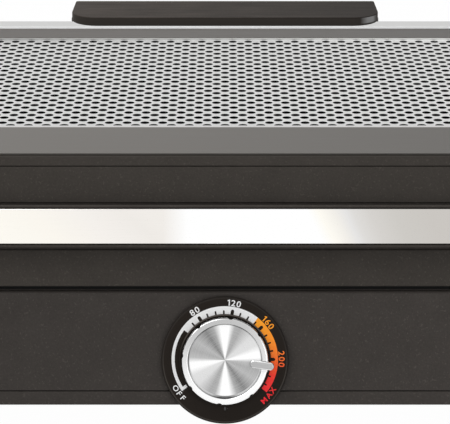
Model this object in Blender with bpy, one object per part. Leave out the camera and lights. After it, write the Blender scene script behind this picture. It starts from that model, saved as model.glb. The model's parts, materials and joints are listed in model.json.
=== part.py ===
# Smokeless indoor grill: a low base with a lift-out ribbed plate, and a deep hood with a
# perforated steel top that swings back on a hinge behind it. A round heat control sits on
# the leaning front wall.
# Metres, +Z up. The front faces -Y and the origin is under the middle of the whole grill.

from math import cos, pi, radians, sin, tan

import bmesh
import bpy
from mathutils import Matrix, Vector

# Fits and facets shared by every piece
fit = 0.0003             # gap between two pieces that touch
overrun = 0.003          # how far a cutter passes the face that it cuts
weld = 0.000002          # points closer than this are one
corner_steps = 5         # facets round a quarter turn of a casing
dial_steps = 36          # facets round the dial and the knob
small_steps = 10         # facets round a pin, a screw or a foot
crease = radians(32)     # edges sharper than this stay sharp

# Steel top and its perforated window
window_width = 0.414
window_depth = 0.2045
window_radius = 0.010
frame_front = 0.0403     # width of the band in front of the window
frame_rear = 0.0379
frame_side = 0.0386
frame_radius = 0.0226
frame_rear_radius = 0.004
frame_rise = 0.0031      # how much higher the band is at the window
frame_sheet = 0.0008
frame_roll = 0.0010      # rounding of the band into the window
rim_lip = 0.0014         # how far the rim stands out past the steel
ledge_depth = 0.0186     # bright ledge behind the steel band
ledge_height = 0.0012
ledge_bead = 0.0025
ledge_bead_rise = 0.0011

# Levels, from the table up
leg_height = 0.0148
strip_height = 0.0068    # bottom strip of the pan that shows under the base wall
base_height = 0.0501
parting_gap = 0.0028     # between base and hood
hood_height = 0.0608
rim_height = 0.0052
mesh_recess = 0.0020     # how far the mesh lies below the top of the steel
mesh_sheet = 0.0008
wall_edge = 0.0010       # small bevel along the casings' edges

# Leaning walls
front_lean = radians(18.7)
side_lean = radians(8.0)
rear_lean = radians(6.0)
casing_radius = 0.024    # upright corners
casing_wall = 0.0028
hood_flange = 0.0045     # inward flange at the hood's top
rim_width = 0.018
rim_rear_cover = 0.012   # how far the rim reaches in under the rear band

# Perforation
hole_pitch = 0.030       # along a row; rows are half of it apart and staggered
hole_width = 0.0118
hole_sides = 6
mesh_border = 0.008      # plain edge clamped under the steel
retainer_width = 0.009
retainer_height = 0.0030
retainer_radius = 0.006

# Handle across the hood's front, as distances down the front wall
handle_down = 0.0268
handle_height = 0.0230
handle_width = 0.436
handle_radius = 0.0040
handle_stand = 0.0085    # how far it stands out of the wall
handle_edge = 0.0008
handle_rim = 0.0014      # plastic edge left round the steel
handle_recess = 0.0008   # shallow seat for the handle in the hood's wall
handle_margin = 0.0011   # open groove round it
band_depth = 0.0012
band_gap = 0.0007
band_edge = 0.0004
band_proud = 0.0002

# Heat control, on the front wall
dial_down = 0.1100       # from the wall's top edge to the shaft
dial_radius = 0.0341
dial_height = 0.0032
dial_edge = 0.0013
collar_width = 0.0010
collar_height = 0.0012
collar_clearance = 0.0004
collar_crown_share = 0.7
knob_radius = 0.0232
knob_height = 0.0100
knob_taper = 0.0002
knob_edge = 0.0011
knob_lift = 0.0006       # running gap under the knob
knob_wall = 0.0020
knob_ring = 0.0033       # polished ring round the brushed face
knob_recess = 0.0026     # depth of the face below the ring
knob_face = 0.0008
knob_top = 0.0024        # plastic left over the hollow
hub_radius = 0.0080
grip_notches = 8
grip_radius = 0.0022
grip_out = 0.0016        # how far the notches' axes lie outside the knob
pointer_start = 0.0132
pointer_end = 0.0262
pointer_width = 0.0042
pointer_height = 0.0026
pointer_turn = radians(97.4)   # clockwise from the top, as the knob rests
pointer_gap = 0.0004
shaft_radius = 0.0030
shaft_flat = 0.0010
shaft_hole = 0.0045
lens_down = 0.0258
lens_radius = 0.0012
lens_gap = 0.0003
lens_proud = 0.0003

# Thermostat behind the wall
thermostat_width = 0.030
thermostat_height = 0.024
thermostat_depth = 0.016
thermostat_edge = 0.0015
bracket_width = 0.046
bracket_height = 0.028
bracket_sheet = 0.0012
bracket_radius = 0.004
bracket_screw_spacing = 0.036
bracket_screw_radius = 0.0016

# Deck and grill plate
plate_margin = 0.0347    # deck in front of the plate
plate_side_margin = 0.0469
plate_radius = 0.022
plate_corner_share = 0.6 # how fast its corners tighten as it draws in
plate_clearance = 0.0010
plate_seat = 0.010       # width of the seat under the plate's rim
seat_down = 0.0075       # seat below the deck
plate_bowl = 0.0093      # bowl below the seat
plate_floor = 0.0040
plate_rise = 0.0032      # rim above the deck
plate_rim = 0.0040
plate_edge = 0.0008
plate_draft = 0.0060
plate_gap = 0.0016       # bowl to the inside of the seat
rib_pitch = 0.0135
rib_height = 0.0050
rib_foot = 0.0052
rib_crown = 0.0030
rib_channel = 0.012      # grease channel round the ribs
drain_radius = 0.0050
drain_inset = 0.0095
grip_width = 0.060       # side grips of the plate
grip_reach = 0.0070
deck_sheet = 0.0012
lip_width = 0.0090       # top lip of the base wall
lip_rebate = 0.0080
lip_thick = 0.0043
bumper_length = 0.020
bumper_width = 0.0026
bumper_share = 0.55      # place of the bumpers along the side walls

# Element, reflector and drip tray
element_radius = 0.0035
element_gap = 0.0004     # element to the plate above it
element_bend = 0.018
element_side_margin = 0.028    # in from the plate's edges
element_front_margin = 0.029
element_rear_margin = 0.041
element_inner = 0.062
element_pins = 0.022
element_dip = 0.050
element_tail = 0.0144
bend_steps = 4
reflector_sheet = 0.0008
reflector_flange = 0.0055
reflector_gap = 0.0040
reflector_draft = 0.0030
reflector_deep = 0.0213
spout_half = 0.0090
spout_deep = 0.0030
spout_corner = 0.0030
saddle_width = 0.014
saddle_depth = 0.006
saddle_share = 0.45      # how far round the element its saddle reaches
block_width = 0.062
block_height = 0.012
block_depth = 0.011
cutout_radius = 0.0080
cutout_height = 0.0060
cutout_place = (-0.070, -0.070)
tray_half = 0.095
tray_depth = 0.098
tray_height = 0.0137
tray_wall = 0.0016
tray_front = 0.0030
tray_radius = 0.0060
tray_slot = 0.0008
tray_pull_half = 0.030
tray_pull_reach = 0.0060
tray_pull_height = 0.0030
tray_lift = 0.0062       # rails above the pan's floor
rail_width = 0.0080
rail_guide = 0.0020
rail_guide_height = 0.0060

# Pan, legs and screws
pan_floor = 0.0025
vent_count = 7
vent_length = 0.060
vent_width = 0.0040
vent_pitch = 0.011
vent_across = 0.150
leg_radius = 0.0140
leg_foot_radius = 0.0122
pad_height = 0.0042
pad_radius = 0.0110
pad_edge = 0.0008
leg_side_margin = 0.0519 # legs, in from the base's edges
leg_margin = 0.0297
screw_head = 0.0034
screw_head_height = 0.0018
screw_shank = 0.0017
screw_length = 0.0075
screw_gap = 0.0004
pan_screw_margin = 0.0219
retainer_screw_share = 0.5   # place of the retainer's screws along the window

# Hinge at the rear
pivot_back = 0.0178      # axis behind the hood's rear edge line
pivot_up = 0.0080        # axis above the base's top
barrel_radius = 0.0065
hinge_pin_radius = 0.0025
hinge_pin_gap = 0.0003
ear_thick = 0.0070
ear_down = 0.022
leaf_half = 0.0840
leaf_sheet = 0.0025
leaf_low = 0.0130
leaf_high = 0.0500
cover_width = 0.2046
cover_depth = 0.0487
cover_reach = 0.0083     # how far the cover laps over the steel band
cover_lift = 0.0040
cover_thick = 0.0052
cover_radius = 0.0187
cover_rear_radius = 0.0016
cover_edge = 0.0008
cover_taper = 0.0011      # how much narrower each side is at the rear
shroud_half = 0.1008
shroud_radius = 0.0050
shroud_low = 0.0150
gland_across = 0.190
gland_up = 0.0200
gland_bore = 0.0042
gland_neck = 0.0075
gland_flange = 0.0115
gland_flange_height = 0.0030
gland_nut = 0.0030

# Levels that follow
strip_top = leg_height + strip_height
base_foot = strip_top + fit
base_top = base_foot + base_height
hood_foot = base_top + parting_gap
hood_top = hood_foot + hood_height
rim_foot = hood_top + fit
rim_top = rim_foot + rim_height
wall_top = rim_top + fit + frame_sheet
frame_top = wall_top + frame_rise
mesh_top = frame_top - mesh_recess
mesh_foot = mesh_top - mesh_sheet
seat_top = base_top - seat_down
pan_top = leg_height + pan_floor
rail_top = pan_top + tray_lift

# Half width, front and rear of the casing at the wall's top line
top_half = window_width / 2 + frame_side + rim_lip
top_front = window_depth / 2 + frame_front + rim_lip
top_rear = window_depth / 2 + frame_rear + fit + ledge_depth + rim_lip
pivot = Vector((0, top_rear + pivot_back, base_top + pivot_up))

# Plate, element, legs and pan screws, from the casing at the base's top
base_half = top_half + (wall_top - base_top) * tan(side_lean)
base_front = top_front + (wall_top - base_top) * tan(front_lean)
plate_width = 2 * (base_half - plate_side_margin)
plate_depth = 2 * (base_front - plate_margin)
element_half = plate_width / 2 - element_side_margin
element_front = plate_depth / 2 - element_front_margin
element_rear = plate_depth / 2 - element_rear_margin
leg_across = base_half - leg_side_margin
leg_along = base_front - leg_margin
pan_screw_across = base_half - pan_screw_margin


def tone(red, green, blue):
    # A display colour of 0 to 255 as linear light
    def linear(value):
        share = value / 255
        return share / 12.92 if share <= 0.04045 else ((share + 0.055) / 1.055) ** 2.4

    return (linear(red), linear(green), linear(blue), 1)


def finish(name, colour, roughness, metallic=0.0):
    surface = bpy.data.materials.new(name)
    surface.use_nodes = True
    shader = surface.node_tree.nodes["Principled BSDF"]
    shader.inputs["Base Color"].default_value = colour
    shader.inputs["Roughness"].default_value = roughness
    shader.inputs["Metallic"].default_value = metallic
    surface.diffuse_color = colour
    return surface


def attach(obj, parent):
    # Parent that keeps the place where the object was made
    if parent is not None:
        obj.parent = parent
        obj.matrix_parent_inverse = parent.matrix_basis.inverted()


def guide(name, parent=None, place=Matrix.Identity(4)):
    empty = bpy.data.objects.new(name, None)
    bpy.context.scene.collection.objects.link(empty)
    empty.matrix_basis = place
    attach(empty, parent)
    return empty


def piece(name, shape, surface, parent, place=Matrix.Identity(4)):
    # A closed bmesh becomes one named object
    mesh = bpy.data.meshes.new(name)
    shape.to_mesh(mesh)
    shape.free()
    mesh.shade_smooth()
    mesh.set_sharp_from_angle(angle=crease)
    mesh.materials.append(surface)
    obj = bpy.data.objects.new(name, mesh)
    bpy.context.scene.collection.objects.link(obj)
    obj.matrix_basis = place
    attach(obj, parent)
    return obj


def combine(obj, name, shape, operation, place=Matrix.Identity(4)):
    # Cuts a hidden tool shape out of the object, or joins it on
    mesh = bpy.data.meshes.new(name)
    shape.to_mesh(mesh)
    shape.free()
    tool = bpy.data.objects.new(name, mesh)
    bpy.context.scene.collection.objects.link(tool)
    tool.matrix_basis = place
    tool.hide_render = True
    tool.display_type = "WIRE"
    attach(tool, obj.parent)
    modifier = obj.modifiers.new(name, "BOOLEAN")
    modifier.operation = operation
    modifier.object = tool


def arc_turns(corner):
    # Angles of the facets round one corner, ends included
    return [pi / 2 * (corner + step / corner_steps) for step in range(corner_steps + 1)]


def outline(half, front, rear, level, radius, front_radius=None):
    # Rounded rectangle at one level, anticlockwise from the right rear corner
    front_radius = radius if front_radius is None else front_radius
    corners = (
        (half - radius, rear - radius, radius),
        (radius - half, rear - radius, radius),
        (front_radius - half, front + front_radius, front_radius),
        (half - front_radius, front + front_radius, front_radius),
    )
    return [
        Vector((x + r * cos(turn), y + r * sin(turn), level))
        for corner, (x, y, r) in enumerate(corners)
        for turn in arc_turns(corner)
    ]


def casing(level, inset=0.0, height=None):
    # Section of the leaning casing at a level, drawn in, and set at another height if given
    drop = wall_top - level
    return outline(
        top_half + drop * tan(side_lean) - inset,
        -(top_front + drop * tan(front_lean) - inset),
        top_rear + drop * tan(rear_lean) - inset,
        level if height is None else height,
        max(casing_radius - inset, casing_radius / 2),
    )


def centred(half, along, level, radius):
    return outline(half, -along, along, level, radius)


def loft(loops, ring=False, shape=None):
    # Skins a row of loops, closed on itself or capped at both ends
    shape = bmesh.new() if shape is None else shape
    rows = [[shape.verts.new(point) for point in loop] for loop in loops]
    pairs = list(zip(rows, rows[1:]))
    if ring:
        pairs.append((rows[-1], rows[0]))
    else:
        shape.faces.new(rows[0])
        shape.faces.new(rows[-1])
    for low, high in pairs:
        for a, b, c, d in zip(low, low[1:] + low[:1], high[1:] + high[:1], high):
            shape.faces.new((a, b, c, d))
    bmesh.ops.recalc_face_normals(shape, faces=shape.faces)
    return shape


def block(low, high, shape=None):
    # Closed box between two corners
    sides = ((low[0], low[1]), (high[0], low[1]), (high[0], high[1]), (low[0], high[1]))
    loops = [[Vector((x, y, z)) for x, y in sides] for z in (low[2], high[2])]
    return loft(loops, shape=shape)


def turned(profile, steps, closed=False):
    # Revolves a profile of (radius, height) about Z
    shape = bmesh.new()
    points = [shape.verts.new((radius, 0, height)) for radius, height in profile]
    edges = [shape.edges.new(pair) for pair in zip(points, points[1:])]
    if closed:
        edges.append(shape.edges.new((points[-1], points[0])))
    bmesh.ops.spin(
        shape,
        geom=points + edges,
        cent=(0, 0, 0),
        axis=(0, 0, 1),
        angle=2 * pi,
        steps=steps,
        use_merge=True,
    )
    bmesh.ops.remove_doubles(shape, verts=shape.verts, dist=weld)
    bmesh.ops.recalc_face_normals(shape, faces=shape.faces)
    return shape


def rod(radius, low, high, steps=small_steps):
    return turned(((0, low), (radius, low), (radius, high), (0, high)), steps)


def gather(shapes, places):
    # Several closed shapes in one mesh, each moved to its own place
    joined = bmesh.new()
    for shape, place in zip(shapes, places):
        shape.transform(place)
        mesh = bpy.data.meshes.new("gathered")
        shape.to_mesh(mesh)
        shape.free()
        joined.from_mesh(mesh)
        bpy.data.meshes.remove(mesh)
    return joined


def at(x=0.0, y=0.0, z=0.0):
    return Matrix.Translation((x, y, z))


def extrusion(name, outlines, thickness, surface, parent, place):
    # Flat outlines, holes among them, given a thickness about their own plane
    curve = bpy.data.curves.new(name, "CURVE")
    curve.dimensions = "2D"
    curve.fill_mode = "BOTH"
    curve.extrude = thickness / 2
    for points in outlines:
        spline = curve.splines.new("POLY")
        spline.points.add(len(points) - 1)
        for knot, (x, y) in zip(spline.points, points):
            knot.co = (x, y, 0, 1)
        spline.use_cyclic_u = True
    curve.materials.append(surface)
    obj = bpy.data.objects.new(name, curve)
    bpy.context.scene.collection.objects.link(obj)
    obj.matrix_basis = place
    attach(obj, parent)
    return obj


def arc(x, y, radius, start, end, steps):
    # Points round an arc, ends included
    turns = (start + (end - start) * step / steps for step in range(steps + 1))
    return [(x + radius * cos(turn), y + radius * sin(turn)) for turn in turns]


def circle(x, y, radius, steps):
    return arc(x, y, radius, 0, 2 * pi * (steps - 1) / steps, steps - 1)


def flat(loop):
    return [(point.x, point.y) for point in loop]


def clear_scene():
    for obj in list(bpy.data.objects):
        bpy.data.objects.remove(obj)


def finishes():
    return {
        "shell": finish("charcoal_shell", tone(61, 57, 54), 0.6),
        "rim": finish("charcoal_rim", tone(66, 62, 59), 0.55),
        "cover": finish("charcoal_cover", tone(72, 68, 64), 0.5),
        "dial": finish("dial_black", tone(37, 33, 28), 0.5),
        "steel": finish("satin_steel", tone(126, 122, 119), 0.34, 1.0),
        "pale_steel": finish("pale_steel", tone(208, 208, 207), 0.3, 1.0),
        "mirror": finish("polished_steel", tone(238, 235, 231), 0.1, 1.0),
        "brushed": finish("brushed_aluminium", tone(200, 199, 198), 0.28, 1.0),
        "pointer": finish("satin_pointer", tone(158, 156, 154), 0.35, 1.0),
        "cast": finish("coated_casting", tone(34, 33, 33), 0.55),
        "element": finish("element_sheath", tone(88, 84, 80), 0.55, 1.0),
        "reflector": finish("bright_sheet", tone(176, 177, 179), 0.35, 1.0),
        "zinc": finish("zinc_steel", tone(150, 151, 153), 0.4, 1.0),
        "ceramic": finish("ceramic", tone(226, 221, 210), 0.6),
        "rubber": finish("foot_rubber", tone(22, 22, 22), 0.85),
        "phenolic": finish("phenolic", tone(30, 28, 27), 0.5),
        "lens": finish("lens", tone(150, 146, 140), 0.2),
    }


def wall_frame(lean, along, level, faces=0.0):
    # Local Y runs up the leaning wall and local Z points out of it
    upright = Matrix.Rotation(faces, 4, "Z") @ Matrix.Rotation(pi / 2 - lean, 4, "X")
    return at(0, along, level) @ upright


def guides():
    root = guide("grill")
    front = wall_frame(front_lean, -top_front, wall_top)
    rear_foot = top_rear + (wall_top - base_foot) * tan(rear_lean)
    rear = wall_frame(rear_lean, rear_foot, base_foot, pi)
    control = front @ at(0, -dial_down)
    hood = guide("hood_pivot", root, at(*pivot))
    return {
        "root": root,
        "hood": hood,
        "knob": guide("knob_axis", root, control @ Matrix.Rotation(-pointer_turn, 4, "Z")),
        "tray": guide("tray_slide", root, at(0, rear_foot, rail_top)),
        "plate": guide("plate_lift", root, at(0, 0, seat_top)),
        "front": front,
        "rear": rear,
        "control": control,
    }


def quarters(across, along):
    # Four named places, one in each quarter of the plan
    return [
        ("front_left", -across, -along),
        ("front_right", across, -along),
        ("rear_left", -across, along),
        ("rear_right", across, along),
    ]


def screw(seat, length):
    # Pan head below its seat and a plain shank above
    return turned(
        (
            (0, seat - screw_head_height),
            (screw_head, seat - screw_head_height),
            (screw_head, seat),
            (screw_shank, seat),
            (screw_shank, seat + length),
            (0, seat + length),
        ),
        small_steps,
    )


def make_base(look, frame):
    root = frame["root"]
    lip_inner = lip_width + lip_rebate
    shell = piece(
        "base_shell",
        loft(
            [
                casing(base_foot),
                casing(base_top - wall_edge),
                casing(base_top, wall_edge),
                casing(base_top, lip_width),
                casing(base_top, lip_width, base_top - deck_sheet - fit),
                casing(base_top, lip_inner, base_top - deck_sheet - fit),
                casing(base_top, lip_inner, base_top - lip_thick),
                casing(base_top - lip_thick, casing_wall),
                casing(base_foot, casing_wall),
            ],
            ring=True,
        ),
        look["shell"],
        root,
    )
    shaft_way = rod(shaft_hole, -casing_wall - overrun, overrun)
    combine(shell, "shaft_hole", shaft_way, "DIFFERENCE", frame["control"])
    slot_half = tray_half + tray_slot
    rear = top_rear + (wall_top - base_foot) * tan(rear_lean)
    combine(
        shell,
        "tray_slot",
        block(
            (-slot_half, rear - casing_wall - tray_wall * 4 - overrun, rail_top - tray_slot),
            (slot_half, rear + overrun, rail_top + fit + tray_height + tray_slot),
        ),
        "DIFFERENCE",
    )
    combine(
        shell,
        "gland_hole",
        rod(gland_neck + fit, -casing_wall - overrun, overrun, 2 * small_steps),
        "DIFFERENCE",
        frame["rear"] @ at(gland_across, gland_up),
    )

    pan = piece(
        "base_pan",
        loft(
            [
                casing(leg_height, wall_edge),
                casing(leg_height + wall_edge),
                casing(strip_top),
                casing(strip_top, casing_wall),
                casing(pan_top, casing_wall),
            ]
        ),
        look["shell"],
        root,
    )
    slots = [
        (side * vent_across, (index - (vent_count - 1) / 2) * vent_pitch)
        for side in (-1, 1)
        for index in range(vent_count)
    ]
    screws = quarters(pan_screw_across, leg_along)
    vents = gather(
        [
            block(
                (-vent_length / 2, -vent_width / 2, leg_height - overrun),
                (vent_length / 2, vent_width / 2, pan_top + overrun),
            )
            for slot in slots
        ]
        + [
            rod(screw_shank + screw_gap, leg_height - overrun, pan_top + overrun)
            for screw in screws
        ],
        [at(x, y) for x, y in slots] + [at(x, y) for corner, x, y in screws],
    )
    combine(pan, "pan_vents", vents, "DIFFERENCE")

    leg_top = leg_height - fit
    for corner, x, y in quarters(leg_across, leg_along):
        piece(
            "leg_" + corner,
            turned(
                (
                    (0, pad_height + fit),
                    (leg_foot_radius, pad_height + fit),
                    (leg_radius, leg_top),
                    (0, leg_top),
                ),
                small_steps,
            ),
            look["shell"],
            root,
            at(x, y),
        )
        piece(
            "foot_pad_" + corner,
            turned(
                (
                    (0, 0),
                    (pad_radius - pad_edge, 0),
                    (pad_radius, pad_edge),
                    (pad_radius, pad_height),
                    (0, pad_height),
                ),
                small_steps,
            ),
            look["rubber"],
            root,
            at(x, y),
        )

    for corner, x, y in screws:
        fastener = screw(leg_height - fit, screw_length)
        piece("base_screw_" + corner, fastener, look["zinc"], root, at(x, y))


def make_deck(look, frame):
    root = frame["root"]
    well = plate_width / 2 + plate_clearance
    well_along = plate_depth / 2 + plate_clearance
    seat = well - plate_seat
    seat_along = well_along - plate_seat
    radius = plate_radius + plate_clearance
    seat_radius = radius - plate_seat
    sheet = deck_sheet
    piece(
        "deck",
        loft(
            [
                casing(base_top, lip_width + fit),
                centred(well, well_along, base_top, radius),
                centred(well, well_along, seat_top, radius),
                centred(seat, seat_along, seat_top, seat_radius),
                centred(seat, seat_along, seat_top - sheet, seat_radius),
                centred(well + sheet, well_along + sheet, seat_top - sheet, radius + sheet),
                centred(well + sheet, well_along + sheet, base_top - sheet, radius + sheet),
                casing(base_top, lip_width + fit, base_top - sheet),
            ],
            ring=True,
        ),
        look["rim"],
        root,
    )
    half = base_half - casing_wall / 2 - wall_edge / 2
    for corner, x, y in quarters(half, bumper_share * plate_depth / 2):
        bumper = block(
            (-bumper_width / 2, -bumper_length / 2, base_top + fit),
            (bumper_width / 2, bumper_length / 2, hood_foot - fit),
        )
        piece("hood_bumper_" + corner, bumper, look["rubber"], root, at(x, y))


def make_plate(look, frame):
    half, along = plate_width / 2, plate_depth / 2
    bowl = plate_seat - plate_clearance + plate_gap
    foot = seat_top - plate_bowl
    floor = foot + plate_floor
    top = base_top + plate_rise
    corner = plate_radius

    def section(inset, level):
        return centred(half - inset, along - inset, level, corner - inset * plate_corner_share)

    plate = piece(
        "grill_plate",
        loft(
            [
                section(bowl + plate_draft, foot),
                section(bowl + plate_draft / 2, foot + plate_rise / 2),
                section(bowl, seat_top + fit),
                section(0, seat_top + fit),
                section(0, top - plate_edge),
                section(plate_edge, top),
                section(plate_rim - plate_edge, top),
                section(plate_rim, top - plate_edge),
                section(bowl + plate_draft - plate_rim / 4, floor + plate_rise / 2),
                section(bowl + plate_draft + plate_rim / 2, floor),
            ]
        ),
        look["cast"],
        frame["plate"],
    )
    rib_half = half - bowl - plate_draft - rib_channel
    rib_along = along - bowl - plate_draft - rib_channel
    count = int(2 * rib_half // rib_pitch) + 1
    ribs = bmesh.new()
    bite = plate_floor / 4
    for index in range(count):
        x = (index - (count - 1) / 2) * rib_pitch
        loft(
            [
                [
                    Vector((x + side * wide, way * long, level))
                    for side, way in ((-1, -1), (1, -1), (1, 1), (-1, 1))
                ]
                for wide, long, level in (
                    (rib_foot / 2, rib_along, floor - bite),
                    (rib_crown / 2, rib_along - rib_height / 2, floor + rib_height),
                )
            ],
            shape=ribs,
        )
    combine(plate, "plate_ribs", ribs, "UNION")
    drain_y = along - bowl - plate_draft - drain_inset
    combine(
        plate,
        "plate_drain",
        rod(drain_radius, foot - overrun, floor + overrun),
        "DIFFERENCE",
        at(0, drain_y),
    )
    grips = bmesh.new()
    reach = half + grip_reach
    for side in (-1, 1):
        inner, outer = sorted((side * (half - plate_rim / 2), side * reach))
        block(
            (inner, -grip_width / 2, base_top + fit + fit),
            (outer, grip_width / 2, top - plate_edge),
            grips,
        )
    combine(plate, "plate_grips", grips, "UNION")


def rounded_path(corners, radius):
    # Open path through the corners, each turned into an arc
    path = [corners[0]]
    for before, corner, after in zip(corners, corners[1:], corners[2:]):
        into = (corner - before).normalized()
        out = (after - corner).normalized()
        start = corner - into * radius
        centre = start + out * radius
        for step in range(bend_steps + 1):
            turn = pi / 2 * step / bend_steps
            path.append(centre - out * radius * cos(turn) + into * radius * sin(turn))
    path.append(corners[-1])
    return path


def make_heating(look, frame):
    root = frame["root"]
    foot = seat_top - plate_bowl
    level = foot - element_gap - element_radius
    half, along = plate_width / 2, plate_depth / 2
    inner = half - plate_seat + plate_clearance + reflector_gap - plate_gap
    inner_along = along - plate_seat + plate_clearance + reflector_gap - plate_gap
    wall = inner_along + reflector_sheet
    top = seat_top - deck_sheet - fit
    floor = top - reflector_deep
    drain_y = along - plate_seat + plate_clearance - plate_gap - plate_draft - drain_inset
    corner = plate_radius - plate_seat

    def spout(grow, z):
        reach = spout_half + grow
        return outline(reach, drain_y - reach, drain_y + reach, z, spout_corner + grow)

    sheet = reflector_sheet
    rim, rim_along = inner + reflector_flange, inner_along + reflector_flange
    low, low_along = inner - reflector_draft, inner_along - reflector_draft
    rim_corner = corner + reflector_flange
    reflector = piece(
        "heat_reflector",
        loft(
            [
                centred(rim, rim_along, top, rim_corner),
                centred(inner, inner_along, top, corner),
                centred(low, low_along, floor + sheet, corner),
                spout(0, floor + sheet),
                spout(0, floor - spout_deep),
                spout(sheet, floor - spout_deep),
                spout(sheet, floor),
                centred(low + sheet, low_along + sheet, floor, corner),
                centred(inner + sheet, inner_along + sheet, top - sheet, corner + sheet),
                centred(rim, rim_along, top - sheet, rim_corner),
            ],
            ring=True,
        ),
        look["reflector"],
        root,
    )
    tail = -wall - element_tail
    way_in = -inner_along + reflector_draft * 2
    way_long = reflector_draft * 2 + element_tail
    ways = gather(
        [rod(element_radius + 2 * element_gap, 0, way_long) for side in (-1, 1)],
        [
            at(side * element_pins, way_in, level) @ Matrix.Rotation(pi / 2, 4, "X")
            for side in (-1, 1)
        ],
    )
    combine(reflector, "element_holes", ways, "DIFFERENCE")

    rear, front, dip = element_rear, -element_front, -element_dip
    right = [
        (element_pins, tail),
        (element_pins, front),
        (element_half, front),
        (element_half, rear),
        (element_inner, rear),
        (element_inner, dip),
    ]
    corners = [Vector((x, y, level)) for x, y in right]
    corners += [Vector((-x, y, level)) for x, y in reversed(right)]
    path = rounded_path(corners, element_bend)
    curve = bpy.data.curves.new("heating_element", "CURVE")
    curve.dimensions = "3D"
    curve.bevel_depth = element_radius
    curve.bevel_resolution = 2
    curve.use_fill_caps = True
    spline = curve.splines.new("POLY")
    spline.points.add(len(path) - 1)
    for knot, point in zip(spline.points, path):
        knot.co = (*point, 1)
    curve.materials.append(look["element"])
    element = bpy.data.objects.new("heating_element", curve)
    bpy.context.scene.collection.objects.link(element)
    attach(element, root)

    rest = level - floor - sheet - fit
    cradle = element_radius + fit
    reach = pi * saddle_share
    saddle_half = saddle_width / 2
    saddle = [(-saddle_half, -rest), (saddle_half, -rest), (saddle_half, -cradle * cos(reach))]
    saddle += arc(0, 0, cradle, -pi / 2 + reach, -pi / 2 - reach, small_steps // 2)
    saddle += [(-saddle_half, -cradle * cos(reach))]
    stand = Matrix.Rotation(pi / 2, 4, "X")
    for name, x in (
        ("left", -element_half),
        ("inner_left", -element_inner),
        ("inner_right", element_inner),
        ("right", element_half),
    ):
        place = at(x, 0, level) @ stand
        extrusion("element_saddle_" + name, [saddle], saddle_depth, look["ceramic"], root, place)

    wide, up = block_width / 2, block_height / 2
    plate = [(-wide, -up), (wide, -up), (wide, up), (-wide, up)]
    holes = [circle(side * element_pins, 0, element_radius + fit, small_steps) for side in (-1, 1)]
    extrusion(
        "terminal_block",
        [plate] + holes,
        block_depth,
        look["ceramic"],
        root,
        at(0, -wall - fit - block_depth / 2, level) @ stand,
    )
    x, y = cutout_place
    piece(
        "thermal_cutout",
        rod(cutout_radius, floor - fit - cutout_height, floor - fit),
        look["phenolic"],
        root,
        at(x, y),
    )


def make_tray(look, frame):
    rear = top_rear + (wall_top - rail_top) * tan(rear_lean)
    low = rail_top + fit
    high = low + tray_height
    lean = tray_height * tan(rear_lean)
    front = rear - tray_depth

    def section(inset, level):
        back = rear - (level - low) * tan(rear_lean)
        back -= tray_front if inset else 0
        reach = tray_half - inset
        return outline(reach, front + inset, back, level, tray_radius - inset)

    levels = ((0, low), (0, high), (tray_wall, high), (tray_wall, low + tray_wall))
    dish = loft([section(inset, level) for inset, level in levels])
    tray = piece("drip_tray", dish, look["reflector"], frame["tray"])
    combine(
        tray,
        "tray_pull",
        block(
            (-tray_pull_half, rear - tray_front, low + tray_pull_height),
            (tray_pull_half, rear + tray_pull_reach, low + 2 * tray_pull_height),
        ),
        "UNION",
    )
    guide_low = pan_top + fit
    edge = tray_half + tray_slot
    rail = [
        (edge - rail_width, guide_low),
        (edge + rail_guide, guide_low),
        (edge + rail_guide, rail_top + rail_guide_height),
        (edge, rail_top + rail_guide_height),
        (edge, rail_top),
        (edge - rail_width, rail_top),
    ]
    length = tray_depth - casing_wall - lean - 2 * overrun
    middle = front + length / 2
    for name, side in (("left", -1), ("right", 1)):
        extrusion(
            "tray_rail_" + name,
            [[(side * x, z) for x, z in rail]],
            length,
            look["zinc"],
            frame["root"],
            at(0, middle, 0) @ Matrix.Rotation(pi / 2, 4, "X"),
        )


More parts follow.
